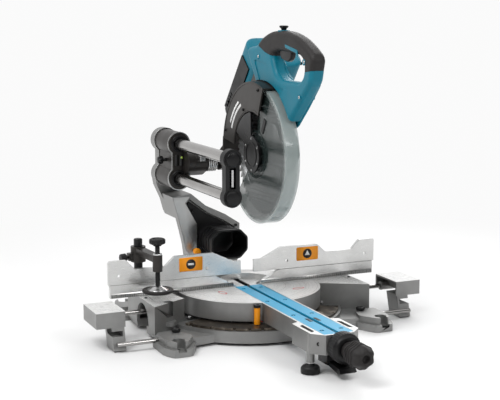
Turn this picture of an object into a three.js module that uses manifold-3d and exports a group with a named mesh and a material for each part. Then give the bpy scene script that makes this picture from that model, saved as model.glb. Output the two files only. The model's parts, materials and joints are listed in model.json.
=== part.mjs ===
// Sliding compound mitre saw: cast base with turntable, tilting arm, twin rails and chop head.
// Units are millimetres. +Z is up, the operator stands at -Y, the origin is the
// turntable's pivot axis at bench level, and the fence face lies in the plane Y = 0.
// Every piece is modelled at rest: head raised, blade square, carriage fully back.

import * as THREE from 'three';
import { mergeVertices } from 'three/addons/utils/BufferGeometryUtils.js';
import Module from 'manifold-3d';

// ---------------------------------------------------------------- driving dimensions

// fits
const seat = 0.35;            // gap between pieces that are bolted or pressed together
const running = 0.7;          // gap between pieces that slide or turn on each other
const swingClearance = 2;     // air beside the turntable arm at the end of its swing

// table and base
const tableTop = 81;          // work surface above the bench
const discRadius = 163;       // round part of the turntable
const wallDepth = 40;         // height of the turntable's side wall
const armHalf = 36;           // half width of the turntable arm
const armReach = 437;         // front edge of the arm
const flareHalf = 52;         // half width of the arm's front end
const flareLength = 110;      // length of the arm's wide front end
const mitreLimit = 60.5;      // degrees of swing that the base leaves room for
const baseHalf = 256;         // half width of the fixed tables
const skin = 6;               // casting wall
const topSkin = 7;            // casting wall under the work surface
const ringRadius = 210;       // outer edge of the base ring
const ringTop = 31;           // top of the base ring, under the mitre scale
const scaleInner = discRadius - 13;  // inner radius of the mitre scale plate
const scaleThick = 5;
const scaleAngle = 64;        // half angle that the mitre scale covers
const pivotRadius = 9;        // turntable pivot bolt
const boltBottom = 4;         // lower end of the pivot bolt, in the closed hub
const hubRadius = 30;
const hubTop = tableTop - wallDepth + 16;

// feet of the base
const footInner = 205;
const footOuter = 266;
const footFront = 211;
const footBack = 108;
const footTop = 30;
const benchHole = 4.6;        // radius of the hole for a bench bolt
const notchOut = 222;         // spare vise hole, distance along the slanted face

// stop pin beside the arm
const stopRadius = 6.5;
const stopCapRadius = 7.5;
const stopBeside = 14;        // from the arm's side to the pin's axis
const stopOut = discRadius + stopCapRadius + seat;
const stopTurn = THREE.MathUtils.radToDeg(Math.asin((armHalf + stopBeside) / stopOut));

// kerf boards
const kerfHalf = 4.2;
const boardHalf = 32;
const boardThick = 4;
const boardFront = armReach - 5;
const boardSlots = [0.06, 0.35, 0.64, 0.93];  // fixing slots, as shares of the board's length

// front grip
const gripAxis = [0, 58];     // X and Z of the grip's shaft
const gripShaft = 6;
const gripLength = 104;       // reach of the grip in front of the arm
const collarLength = 34;
const boltPlace = [-46, 33 - armReach];  // screw foot under the arm's left corner
const boltRadius = 4;
const footPadRadius = 19;

// fence
const fenceHalf = 320;        // outer end of the lower fence
const fenceThick = 12;
const fenceTop = 110;         // top of the lower fence
const slideTop = 163;         // top of the sliding fence
const slideDip = 142;         // lowest stretch of the sliding fence's top edge
const slideThick = 8;
const slideInner = 16;        // inner end of the sliding fence
const clampPlace = [190, 95]; // X and Z of the sliding fence's lock screw
const clampRadius = 4;

// side supports, drawn out from the base
const wingInner = 322;
const wingOuter = 384;
const wingFront = -108;
const wingBack = -15;
const wingDepth = 33;
const wingSkin = 4;
const rodRadius = 5;
const frontRod = [-127, 17];  // Y and Z of the front support rod
const rearRod = [-32, 56];    // Y and Z of the rear support rod
const lockPlace = [219, frontRod[0]];    // X and Y of the support rod's lock screw
const lockRadius = 2.8;

// vise
const postPlace = [-239, 52];
const screwPlace = [-231, -52];
const postRadius = 9.5;
const postTop = 196;
const viseArmBottom = slideTop + 1.8;
const viseArmTop = viseArmBottom + 14;
const screwRadius = 5.5;
const viseKnobTop = 216;
const padTop = 106;
const padRadius = 33;

// tilting arm and rails
const tiltHeight = tableTop;  // the tilt axis lies in the table surface
const tiltRadius = 47;        // round hub about the tilt axis
const armFrontFace = 176;
const flangeBack = 196;       // back of the arm's wide front flange
const armBackFace = 252;
const railX = -100;
const railHigh = 388;
const railLow = 308;
const railRadius = 12.5;
const railFront = -135;
const holderFront = 249.5;
const holderBack = 276;
const lobe = 28;              // outer radius of the castings round the rails
const waist = 17;             // half width of the web between the carriage's two lobes
const capLobe = 21;           // outer radius of the end cap round each rail
const capDisc = 16;
const capDepth = 20;
const slotHalf = 7;           // half width of the slot in the end cap
const slotLength = 44;
const tiltShaft = 12;
const releasePlace = [-61, 134];         // X and Z of the tilt release
const hoodCentre = [0, 156];  // X and Z of the dust duct's axis
const hoodFront = 100;
const hoodHalf = 45;
const hoodHeight = 34;        // half height of the duct
const hoodSkin = 3.5;
const carriageFront = 162;
const carriageBack = 247;

// saw head
const pivot = [140, 348];     // Y and Z of the chop axis
const arbor = [-80, 387];     // Y and Z of the blade's axis, head raised
const bladeRadius = 130;
const bladeThick = 2.4;
const guardRadius = 149;
const guardSkin = 3;
const guardHalf = 16;         // half width of the lower guard
const caseInner = 151.5;
const caseOuter = 155;
const caseLeft = -27;
const caseRight = 22;
const caseSkin = 3.5;
const caseFrom = 8;           // degrees, angles about the arbor from +Y towards +Z
const caseTo = 112;
const guardFrom = 100;
const guardTo = 316;
const teeth = 40;
const arborBore = 15;         // radius of the blade's bore
const spindleRadius = 8;
const chopShaft = 8;
const chopAngle = 50;         // travel of the head, and the tilt of the motor at rest

// motor, in the place it takes with the head down
const motorBottom = 386;
const motorTop = 482;
const motorLeft = caseRight + 3;
const motorRight = 142;
const motorFront = -118;
const motorBack = 82;

// handle
const gripLeft = -4;
const gripRight = 28;
const buttonPlace = [12, -158];          // X and Y of the lock-off button
const buttonRadius = 5.5;

// ---------------------------------------------------------------- colours

const colours = {
  casting: [0xa9aba6, 0.45, 0.75],
  machined: [0xd6d7d4, 0.32, 0.9],
  steel: [0xb9bcc0, 0.25, 1],
  chrome: [0xd9dcdf, 0.12, 1],
  darkCasting: [0x3f3d3b, 0.5, 0.6],
  black: [0x17181a, 0.55, 0],
  rubber: [0x242322, 0.85, 0],
  teal: [0x00768c, 0.38, 0],
  cyan: [0x2fb5d6, 0.45, 0],
  orange: [0xf39200, 0.45, 0],
  clear: [0xa9c4bf, 0.1, 0],
  scale: [0x6f6a60, 0.4, 0.8],
};

// ---------------------------------------------------------------- solid modelling helpers

const wasm = await Module();
wasm.setup();

// Turns a closed three.js geometry into a solid, with its faces pointing outwards.
function solid(geometry) {
  const bare = geometry.index ? geometry.toNonIndexed() : geometry.clone();
  bare.deleteAttribute('normal');
  bare.deleteAttribute('uv');
  const merged = mergeVertices(bare, 1e-4);
  const points = merged.attributes.position.array;
  const corners = Uint32Array.from(merged.index.array);
  if (signedVolume(points, corners) < 0) {
    for (let i = 0; i < corners.length; i += 3) {
      [corners[i], corners[i + 1]] = [corners[i + 1], corners[i]];
    }
  }
  const mesh = new wasm.Mesh({
    numProp: 3,
    vertProperties: Float32Array.from(points),
    triVerts: corners,
  });
  return new wasm.Manifold(mesh);
}

function signedVolume(points, corners) {
  const [a, b, c] = [new THREE.Vector3(), new THREE.Vector3(), new THREE.Vector3()];
  let volume = 0;
  for (let i = 0; i < corners.length; i += 3) {
    a.fromArray(points, 3 * corners[i]);
    b.fromArray(points, 3 * corners[i + 1]);
    c.fromArray(points, 3 * corners[i + 2]);
    volume += a.dot(b.cross(c)) / 6;
  }
  return volume;
}

function geometryOf(body) {
  const mesh = body.getMesh();
  const geometry = new THREE.BufferGeometry();
  geometry.setAttribute('position', new THREE.BufferAttribute(mesh.vertProperties, 3));
  geometry.setIndex(new THREE.BufferAttribute(mesh.triVerts, 1));
  geometry.computeVertexNormals();
  return geometry;
}

const join = (...bodies) => bodies.reduce((whole, next) => whole.add(next));
const cut = (body, ...tools) => tools.reduce((rest, tool) => rest.subtract(tool), body);

// Moves a solid by a matrix; a mirror image is turned the right way out again.
function moved(body, matrix) {
  return solid(geometryOf(body).applyMatrix4(matrix));
}

const mirrored = (body) => moved(body, new THREE.Matrix4().makeScale(-1, 1, 1));

// Basis that lays an outline in the plane across an axis and extrudes it along that axis.
function across(axis) {
  const [x, y, z] = [
    new THREE.Vector3(1, 0, 0),
    new THREE.Vector3(0, 1, 0),
    new THREE.Vector3(0, 0, 1),
  ];
  const bases = { x: [y, z, x], y: [x, z, y.clone().negate()], z: [x, y, z] };
  return new THREE.Matrix4().makeBasis(...bases[axis]);
}

// Extrudes an outline of [u, v] points from a to b along x ([y, z]), y ([x, z]) or z ([x, y]).
function prism(axis, outline, a, b) {
  const shape = new THREE.Shape(outline.map(([u, v]) => new THREE.Vector2(u, v)));
  const geometry = new THREE.ExtrudeGeometry(shape, { depth: b - a, bevelEnabled: false });
  geometry.translate(0, 0, axis === 'y' ? -b : a);
  return solid(geometry.applyMatrix4(across(axis)));
}

// Box between two opposite corners.
function block([x0, y0, z0], [x1, y1, z1]) {
  const geometry = new THREE.BoxGeometry(x1 - x0, y1 - y0, z1 - z0);
  return solid(geometry.translate((x0 + x1) / 2, (y0 + y1) / 2, (z0 + z1) / 2));
}

// Turned piece: a profile of [radius, along] points about an axis through a [u, v] point.
function turned(axis, profile, [u, v] = [0, 0], sides = 24) {
  const points = profile.map(([radius, along]) => new THREE.Vector2(radius, along));
  const geometry = new THREE.LatheGeometry(points, sides);
  geometry.rotateX(Math.PI / 2);
  geometry.applyMatrix4(across(axis));
  const shift = { x: [0, u, v], y: [u, 0, v], z: [u, v, 0] }[axis];
  if (axis === 'y') {
    geometry.scale(1, -1, 1);
  }
  return solid(geometry.translate(...shift));
}

// Round bar, or a taper where the second radius differs.
function bar(axis, radius, a, b, place = [0, 0], endRadius = radius, sides = 20) {
  const profile = [[0, a], [radius, a], [endRadius, b], [0, b]];
  return turned(axis, profile, place, sides);
}

// Tube with an outer and an inner radius.
function tube(axis, outer, inner, a, b, place = [0, 0], sides = 24) {
  const profile = [[inner, a], [outer, a], [outer, b], [inner, b], [inner, a]];
  return turned(axis, profile, place, sides);
}

// Point at an angle in degrees about a centre.
function polar([u, v], radius, degrees) {
  const angle = THREE.MathUtils.degToRad(degrees);
  return [u + radius * Math.cos(angle), v + radius * Math.sin(angle)];
}

// Points along an arc, angles in degrees.
function arc(centre, radius, from, to, steps) {
  return Array.from({ length: steps + 1 }, (_, i) =>
    polar(centre, radius, from + ((to - from) * i) / steps));
}

// Outline with every corner rounded by up to the given radius.
function rounded(outline, radius, steps = 3) {
  const count = outline.length;
  return outline.flatMap((corner, i) => {
    const here = new THREE.Vector2(...corner);
    const before = new THREE.Vector2(...outline[(i + count - 1) % count]).sub(here);
    const after = new THREE.Vector2(...outline[(i + 1) % count]).sub(here);
    const reach = Math.min(radius, before.length() * 0.45, after.length() * 0.45);
    const start = here.clone().add(before.setLength(reach));
    const end = here.clone().add(after.setLength(reach));
    const curve = new THREE.QuadraticBezierCurve(start, here, end);
    return curve.getPoints(steps).map((point) => [point.x, point.y]);
  });
}

// Sector of a ring across an axis, angles in degrees.
function sector(axis, outer, inner, from, to, a, b, place = [0, 0], steps = 24) {
  const outline = [
    ...arc(place, outer, from, to, steps),
    ...arc(place, inner, to, from, Math.max(4, Math.round(steps / 2))),
  ];
  return prism(axis, outline, a, b);
}

const parts = new THREE.Group();

function add(name, body, colour) {
  const [color, roughness, metalness] = colours[colour];
  const material = new THREE.MeshStandardMaterial({ color, roughness, metalness });
  const mesh = new THREE.Mesh(geometryOf(body), material);
  mesh.name = name;
  parts.add(mesh);
}

// Adds a piece modelled on the right (+X) side, and its mirror image on the left.
function addPair(name, body, colour) {
  add(`${name}_right`, body, colour);
  add(`${name}_left`, mirrored(body), colour);
}

// ---------------------------------------------------------------- base

const swing = THREE.MathUtils.degToRad(mitreLimit);

// Point beside the swung turntable arm: distance out along the arm, and to its side.
function besideArm(out, side, back = false) {
  const x = Math.sin(swing) * out + Math.cos(swing) * side;
  const y = -Math.cos(swing) * out + Math.sin(swing) * side;
  return [x, back ? -y : y];
}

// Distance out along the swung arm at which a line beside it reaches a given X.
const outAtX = (x, side) => (x - Math.cos(swing) * side) / Math.sin(swing);

const frontSide = armHalf + swingClearance;
const rearSide = tiltRadius + 10 + swingClearance;

// Outline of the fixed table on the right: round beside the disc, and slanting away from
// the room that the arm needs in front and the tilting arm needs behind.
function tableOutline(inset) {
  const inner = discRadius - 3 + inset;
  const front = frontSide + inset;
  const rear = rearSide + inset;
  const frontCorner = besideArm(Math.sqrt(inner ** 2 - front ** 2), front);
  const rearCorner = besideArm(Math.sqrt(inner ** 2 - rear ** 2), rear, true);
  const edge = baseHalf - inset;
  const from = THREE.MathUtils.radToDeg(Math.atan2(rearCorner[1], rearCorner[0]));
  const to = THREE.MathUtils.radToDeg(Math.atan2(frontCorner[1], frontCorner[0]));
  return [
    ...arc([0, 0], inner, from, to, 6),
    besideArm(outAtX(edge, front), front),
    besideArm(outAtX(edge, rear), rear, true),
  ];
}

function fixedTable() {
  const shell = prism('z', tableOutline(0), ringTop - 10, tableTop);
  const hollow = prism('z', tableOutline(skin), 0, tableTop - topSkin);
  const archedSide = prism(
    'x',
    [[-72, 0], ...arc([-22, 34], 38, 180, 0, 8), [16, 0]],
    baseHalf - skin - 1,
    baseHalf + 1,
  );
  return cut(shell, hollow, archedSide);
}

function footOutline(front, inset) {
  const [near, far] = front ? [-footBack, -footFront] : [footBack, footFront - 12];
  const step = front ? 1 : -1;
  return rounded([
    [footInner + inset, near - step * inset],
    [footInner - 18 + inset, far + step * 48],
    [footInner + 8 + inset, far + step * inset],
    [footOuter - 12 - inset, far + step * inset],
    [footOuter - inset, far + step * 30],
    [footOuter - inset, near - step * inset],
  ], 8, 2);
}

function foot(front) {
  const side = front ? -1 : 1;
  const end = front ? footFront : footFront - 12;
  const hole = [(footInner + footOuter) / 2, side * (end - 24)];
  const plate = prism('z', footOutline(front, 0), 0, 16);
  const hump = prism('z', footOutline(front, 7), 15, footTop);
  const pocket = join(
    bar('z', 13, 10, footTop + 1, hole, 13, 16),
    block([hole[0] - 9, side > 0 ? hole[1] : hole[1] - 34, 10],
      [hole[0] + 9, side > 0 ? hole[1] + 34 : hole[1], footTop + 1]),
  );
  return cut(join(plate, hump), pocket, bar('z', benchHole, -1, 12, hole, benchHole, 12));
}

// Web between the ring and a foot, under the table.
function footWeb(front) {
  const side = front ? -1 : 1;
  return prism('z', [
    [120, side * 150],
    [footInner + 20, side * (footBack + 60)],
    [footInner + 40, side * (footBack - 6)],
    [baseHalf - skin, side * 30],
    [160, side * 30],
  ], 6, ringTop - 8);
}

function baseCasting() {
  const ring = turned('z', [
    [ringRadius - skin, 6], [ringRadius, 6], [ringRadius, ringTop], [scaleInner, ringTop],
    [scaleInner, ringTop - 4], [ringRadius - skin, ringTop - 4], [ringRadius - skin, 6],
  ], [0, 0], 48);
  const floor = tube('z', ringRadius - 1, 24, 6, 10, [0, 0], 24);
  const hub = cut(
    bar('z', hubRadius, 0, hubTop - running, [0, 0], hubRadius, 24),
    bar('z', pivotRadius + seat, boltBottom - seat, hubTop),
  );
  const side = join(fixedTable(), foot(true), foot(false), footWeb(true), footWeb(false));
  const postHub = bar('z', postRadius + 5.5, 30, tableTop - 1, postPlace);
  const postBore = bar('z', postRadius + seat, 40, tableTop + 1, postPlace);
  const notchAt = besideArm(notchOut, frontSide + 6);
  const notchHub = bar('z', 17, ringTop, tableTop - 1, [-notchAt[0], notchAt[1]]);
  const notch = bar('z', 10.5, ringTop + 18, tableTop + 1, [-notchAt[0], notchAt[1]]);
  const keepOut = prism('z', [
    besideArm(0, frontSide), besideArm(330, frontSide), besideArm(330, -40), [0, -160],
  ], tableTop - wallDepth - running, tableTop + 1);
  const stopEnd = 270 - stopTurn - mitreLimit;
  const stopRoom = sector('z', stopOut + stopCapRadius + 2, discRadius - 4, stopEnd - 15,
    stopEnd + 11, ringTop + scaleThick, tableTop + 1);
  const discRoom = bar('z', discRadius + running, ringTop + 0.01, tableTop + 1, [0, 0],
    discRadius + running, 48);
  const rods = [frontRod, rearRod].flatMap((place) => [
    bar('x', rodRadius + running, 90, footOuter + 4, place, rodRadius + running, 12),
    bar('x', rodRadius + running, -footOuter - 4, -90, place, rodRadius + running, 12),
  ]);
  const lockScrews = [1, -1].map((way) =>
    bar('z', lockRadius + 0.6, frontRod[1], footTop + 8, [way * lockPlace[0], lockPlace[1]],
      lockRadius + 0.6, 10));
  const body = cut(join(ring, floor, hub, side, mirrored(side), postHub, notchHub), discRoom);
  return cut(body, postBore, notch, stopRoom, mirrored(keepOut), ...rods, ...lockScrews);
}

add('base_casting', baseCasting(), 'casting');

// Scale plate with its row of stop notches and two fixing holes.
function mitreScale() {
  const from = -90 - scaleAngle;
  const plate = sector('z', ringRadius - 6, scaleInner, from, -90 + scaleAngle,
    ringTop + seat, ringTop + seat + scaleThick, [0, 0], 32);
  const stops = [-60, -45, -31.6, -22.5, -15, 0, 15, 22.5, 31.6, 45, 60].map((angle) => {
    const turn = THREE.MathUtils.degToRad(angle - 90);
    const centre = [(ringRadius - 9) * Math.cos(turn), (ringRadius - 9) * Math.sin(turn)];
    return bar('z', 4, ringTop, ringTop + scaleThick + 2, centre, 4, 8);
  });
  return cut(plate, ...stops);
}

add('mitre_scale', mitreScale(), 'scale');

add('turntable_pivot_bolt', turned('z', [
  [0, boltBottom], [pivotRadius, boltBottom], [pivotRadius, tableTop - topSkin - 6],
  [14, tableTop - topSkin - 6], [14, tableTop - topSkin - 1], [0, tableTop - topSkin - 1],
]), 'steel');

// ---------------------------------------------------------------- turntable

function armOutline(inset) {
  const half = armHalf - inset;
  const wide = flareHalf - inset;
  const flareStart = flareLength - armReach;
  return [
    [-half, 0], [-half, flareStart], [-wide, flareStart - 8], [-wide, -armReach + 22],
    [-30 + inset / 2, -armReach + inset], [30 - inset / 2, -armReach + inset],
    [wide, -armReach + 22], [wide, flareStart - 8], [half, flareStart], [half, 0],
  ];
}

const hubBack = armFrontFace - running;

function turntable() {
  const bottom = tableTop - wallDepth;
  const disc = bar('z', discRadius, bottom, tableTop, [0, 0], discRadius, 60);
  const arm = prism('z', armOutline(0), bottom, tableTop);
  const rear = block([-armHalf, 0, bottom], [armHalf, hubBack, tableTop]);
  const hub = bar('y', tiltRadius - 10, 140, hubBack, [0, tiltHeight]);
  const footHub = bar('z', boltRadius + 4, 22, tableTop - 2, boltPlace);
  const gripHub = bar('y', gripShaft + 9, -armReach + 6, -armReach + 26, gripAxis);
  const outside = join(disc, arm, rear, hub);
  const discHollow = bar('z', discRadius - skin, bottom - 1, tableTop - topSkin - 5, [0, 0],
    discRadius - skin, 36);
  const armHollow = prism('z', armOutline(skin), bottom - 1, tableTop - topSkin - 5);
  const rearHollow = block([-armHalf + skin, 0, bottom - 1],
    [armHalf - skin, 138, tableTop - topSkin - 5]);
  const bush = bar('z', 26, hubTop, tableTop - 2);
  const ribs = [-60, 60, 120, 240].map((angle) => {
    const rib = block([20, -3, bottom + 6], [discRadius - 2, 3, tableTop - 2]);
    return moved(rib, new THREE.Matrix4().makeRotationZ(THREE.MathUtils.degToRad(angle)));
  });
  const shell = cut(outside, discHollow, armHollow, rearHollow);
  const whole = join(shell, bush, footHub, gripHub, ...ribs);
  const boardSeat = block([-boardHalf - seat, -boardFront - seat, tableTop - boardThick - seat],
    [boardHalf + seat, seat - 2, tableTop + 1]);
  const kerf = block([-9, -boardFront + 8, bottom - 1], [9, -hubRadius - 4, tableTop]);
  const kerfBack = block([-7, -hubRadius - 4, tableTop - topSkin - 3], [7, 72, tableTop + 1]);
  const pockets = [-1, 1].map((way) => {
    const pocket = prism('z', rounded([
      [37, 87 - armReach], [46, 81 - armReach], [46, 29 - armReach], [37, 35 - armReach],
    ], 3, 2), tableTop - 9, tableTop + 1);
    return way > 0 ? pocket : mirrored(pocket);
  });
  const pivotBore = join(
    bar('z', pivotRadius + running, 0, tableTop - topSkin),
    bar('z', 15, tableTop - topSkin - 6 - seat, tableTop - topSkin + 0.5),
  );
  const boltBore = bar('z', boltRadius + running, 10, tableTop - 12, boltPlace);
  const gripBore = bar('y', gripShaft + running, -armReach - 1, -armReach + 40, gripAxis);
  const tiltBore = bar('y', tiltShaft + seat, 120, hubBack + 1, [0, tiltHeight]);
  return cut(whole, boardSeat, kerf, kerfBack, ...pockets, pivotBore, boltBore, gripBore,
    tiltBore);
}

add('turntable', turntable(), 'casting');

function kerfBoard() {
  const board = block([kerfHalf, -boardFront, tableTop - boardThick],
    [boardHalf, -2, tableTop - 0.2]);
  const slots = boardSlots.map((share) => {
    const y = -share * boardFront;
    const outline = [[16, y - 4], [26, y - 4], [26, y + 4], [16, y + 4]];
    return prism('z', rounded(outline, 4, 2), tableTop - boardThick - 1, tableTop + 1);
  });
  return cut(board, ...slots);
}

addPair('kerf_board', kerfBoard(), 'cyan');

add('rear_insert', cut(
  block([-7 + seat, 18, tableTop - topSkin - 3 + seat], [7 - seat, 72 - seat, tableTop - 1]),
  block([-kerfHalf, 17, tableTop - topSkin + 1], [kerfHalf, 60, tableTop]),
), 'black');

// Pull-up stop pin that drops into the notches of the scale.
const stopPlace = polar([0, 0], stopOut, -90 - stopTurn);
const stopBore = 3;
const scaleTop = ringTop + seat + scaleThick;

add('stop_pin_sleeve', tube('z', stopRadius, stopBore, scaleTop + running, tableTop - 8, stopPlace, 20),
  'orange');
add('stop_pin_cap', turned('z', [
  [0, scaleTop + 3], [stopBore - seat, scaleTop + 3], [stopBore - seat, tableTop - 8 + seat],
  [stopCapRadius, tableTop - 8 + seat], [stopCapRadius, tableTop - 1], [0, tableTop - 1],
], stopPlace, 20), 'black');

// Screw foot under the left corner of the arm.
add('foot_bolt', join(
  bar('z', boltRadius, 12, tableTop - 16, boltPlace, boltRadius, 16),
  turned('z', [
    [0, 0], [footPadRadius, 0], [footPadRadius, 11], [footPadRadius - 3, 15], [0, 15],
  ], boltPlace, 24),
), 'black');

// Front grip: a shaft through the arm's end wall, a collar and a six-sided handle.
add('grip_collar', turned('y', [
  [gripShaft + 1, -armReach - running], [28, -armReach - running], [31, -armReach - 12],
  [31, -armReach - 26], [24, -armReach - collarLength],
  [gripShaft + 1, -armReach - collarLength], [gripShaft + 1, -armReach - running],
], gripAxis, 32), 'black');

function mitreGrip() {
  const front = -armReach - gripLength;
  const shaft = bar('y', gripShaft, front + 60, -armReach + 34, gripAxis, gripShaft, 16);
  const neck = bar('y', 17, front + 56, -armReach - collarLength - 1 - running, gripAxis, 17, 24);
  const handle = turned('y', [
    [0, front], [13, front], [22, front + 8], [25, front + 26], [21, front + 58],
    [0, front + 58],
  ], gripAxis, 6);
  return cut(join(shaft, neck, handle), bar('y', 9, front - 1, front + 12, gripAxis, 7, 16));
}

add('mitre_grip', mitreGrip(), 'rubber');

add('lock_lever', join(
  block([-22, -armReach + 10, 18], [22, -armReach + 48, 41]),
  prism('x', [
    [-armReach + 12, 25], [-armReach - 30, 21], [-armReach - 36, 13],
    [-armReach - 28, 9], [-armReach + 16, 18],
  ], -18, 18),
), 'black');

// ---------------------------------------------------------------- fences

function guideFence() {
  const bottom = tableTop + seat;
  const half = prism('y', [
    [25, bottom], [fenceHalf, bottom], [fenceHalf, fenceTop], [77, fenceTop],
  ], 0, fenceThick);
  const flange = prism('z', [
    [66, fenceThick - 1], [168, fenceThick - 1], [150, 34], [70, 34],
  ], bottom, bottom + 7);
  const bridge = sector('z', 78, 62, 0, 180, bottom, bottom + 13, [0, 4], 20);
  const groove = block([0, 3, fenceTop - 7], [fenceHalf + 1, 6, fenceTop + 1]);
  const screw = bar('y', clampRadius + running, 7, fenceThick + 1, clampPlace);
  const right = cut(join(half, flange), groove, screw);
  return join(right, mirrored(right), bridge);
}

add('guide_fence', guideFence(), 'machined');

function slidingFence() {
  const bottom = fenceTop + running;
  const plate = prism('y', [
    [slideInner, bottom], [324, bottom], [324, slideTop - 4], [320, slideTop],
    [284, slideTop], [264, slideDip], [196, slideDip], [174, slideTop - 1],
    [82, slideTop - 1], [34, 139], [slideInner, 139],
  ], 0, slideThick);
  const tongue = block([80, 3 + 0.5, fenceTop - 6], [318, 6 - 0.5, bottom + 1]);
  const holes = [98, 300].map((x) => bar('y', 3.5, -1, slideThick + 1, [x, 129], 3.5, 12));
  return cut(join(plate, tongue), ...holes);
}

addPair('sliding_fence', slidingFence(), 'machined');

// Thumb screw that locks the sliding fence, behind the lower fence.
addPair('fence_clamp', join(
  bar('y', clampRadius, 8, fenceThick + 14, clampPlace, clampRadius, 12),
  turned('y', [
    [0, fenceThick + 8], [11, fenceThick + 8], [12, fenceThick + 20],
    [0, fenceThick + 20],
  ], clampPlace, 8),
), 'black');

// ---------------------------------------------------------------- side supports

function wing() {
  const bottom = tableTop - wingDepth;
  const outer = block([wingInner, wingFront, bottom], [wingOuter, wingBack, tableTop]);
  const inner = block([wingInner - 1, wingFront + wingSkin, bottom - 1],
    [wingOuter - wingSkin, wingBack - wingSkin, tableTop - wingSkin]);
  const rib = block([wingInner + 20, wingFront + 2, bottom + 8],
    [wingInner + 24, wingBack - 2, tableTop - 2]);
  const leg = prism('x', [
    [wingFront, bottom + 2], [wingFront - 14, 2], [wingFront + 34, 2],
    [wingFront + 48, bottom + 2],
  ], wingInner + 3, wingInner + 30);
  const legHollow = prism('x', [
    [wingFront + wingSkin, bottom + 3], [wingFront - 14 + wingSkin, 30],
    [wingFront + 34 - wingSkin, 30], [wingFront + 48 - wingSkin, bottom + 3],
  ], wingInner + 3 + wingSkin, wingInner + 31);
  const rearHub = bar('x', rodRadius + 5, wingInner + 2, wingOuter - 2, rearRod);
  const frontBore = bar('x', rodRadius + seat, wingInner, wingInner + 26, frontRod);
  const rearBore = bar('x', rodRadius + seat, wingInner, wingOuter - 12, rearRod);
  return cut(join(cut(outer, inner), rib, cut(leg, legHollow), rearHub), frontBore, rearBore);
}

addPair('wing', wing(), 'casting');
addPair('wing_front_rod', bar('x', rodRadius, 176, wingInner + 25, frontRod, rodRadius, 16),
  'chrome');
addPair('wing_rear_rod', bar('x', rodRadius, 222, wingOuter - 13, rearRod, rodRadius, 16),
  'chrome');
addPair('wing_lock_knob', join(
  bar('z', lockRadius, frontRod[1] + rodRadius + 1.2, footTop + 3, lockPlace, lockRadius, 12),
  turned('z', [
    [0, footTop + running], [9, footTop + running], [10, footTop + 8.5], [0, footTop + 8.5],
  ], lockPlace, 8),
), 'black');

// ---------------------------------------------------------------- vise

add('vise_post', bar('z', postRadius, 41, postTop, postPlace), 'steel');

function viseArm() {
  const along = new THREE.Vector2(screwPlace[0] - postPlace[0], screwPlace[1] - postPlace[1]);
  const reach = along.length();
  const turn = Math.atan2(along.y, along.x);
  const beam = prism('z', rounded([
    [0, -11], [reach, -9], [reach, 9], [0, 11],
  ], 4, 2), viseArmBottom, viseArmTop);
  const collar = bar('z', postRadius + 7, viseArmBottom - 18, viseArmTop + 2);
  const nut = bar('z', 10.5, viseArmBottom - 20, viseArmTop + 1, [reach, 0]);
  const lug = block([-8, -24, viseArmBottom - 14], [8, -10, viseArmBottom + 2]);
  const whole = cut(
    join(beam, collar, nut, lug),
    bar('z', postRadius + running, 0, 300),
    bar('z', screwRadius + running, 0, 300, [reach, 0]),
    bar('y', 3 + running, -30, -postRadius + 2, [0, viseArmBottom - 7], 3 + running, 12),
  );
  const place = new THREE.Matrix4().makeTranslation(...postPlace, 0);
  return moved(whole, place.multiply(new THREE.Matrix4().makeRotationZ(turn)));
}

add('vise_arm', viseArm(), 'darkCasting');

function viseThumbScrew() {
  const turn = Math.atan2(screwPlace[1] - postPlace[1], screwPlace[0] - postPlace[0]);
  const screw = join(
    bar('y', 3, -34, -postRadius - seat, [0, viseArmBottom - 7], 3, 12),
    bar('y', 9, -42, -30, [0, viseArmBottom - 7], 10, 8),
  );
  const place = new THREE.Matrix4().makeTranslation(...postPlace, 0);
  return moved(screw, place.multiply(new THREE.Matrix4().makeRotationZ(turn)));
}

add('vise_thumb_screw', viseThumbScrew(), 'black');

add('vise_screw', bar('z', screwRadius, padTop + 8 + seat, viseKnobTop - 12, screwPlace,
  screwRadius, 20), 'darkCasting');
add('vise_knob', cut(turned('z', [
  [0, viseKnobTop - 16], [12, viseKnobTop - 16], [17.5, viseKnobTop - 11],
  [17.5, viseKnobTop - 3], [14, viseKnobTop], [0, viseKnobTop],
], screwPlace, 24), bar('z', screwRadius + seat, 0, viseKnobTop - 12 + seat, screwPlace)),
'black');
add('vise_pad', turned('z', [
  [0, padTop - 7], [padRadius - 2, padTop - 7], [padRadius, padTop - 4],
  [padRadius, padTop - 1], [padRadius - 6, padTop],
  [20, padTop - 2], [8, padTop + 8], [0, padTop + 8],
], screwPlace, 24), 'steel');

// ---------------------------------------------------------------- tilting arm

// Figure-of-eight section round the two rails.
function railBlock(radius, web, a, b) {
  return join(
    bar('y', radius, a, b, [railX, railHigh], radius, 32),
    bar('y', radius, a, b, [railX, railLow], radius, 32),
    block([railX - web, a, railLow], [railX + web, b, railHigh]),
  );
}

function railBores(clearance, a, b) {
  return [railHigh, railLow].map((z) =>
    bar('y', railRadius + clearance, a, b, [railX, z], railRadius + clearance, 32));
}

// Left edge of the arm: the wide front flange, and the narrower body behind it.
const flangeEdge = [
  [-49, 95], [-58, 108], [-80, 135], [-90, 179], [-100, 218], [-108, 247], [-112, 262],
];
const bodyEdge = [
  [-48, 95], [-54, 140], [-57, 199], [-95, 208], [-100, 218], [-108, 247], [-124, 282],
];

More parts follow.
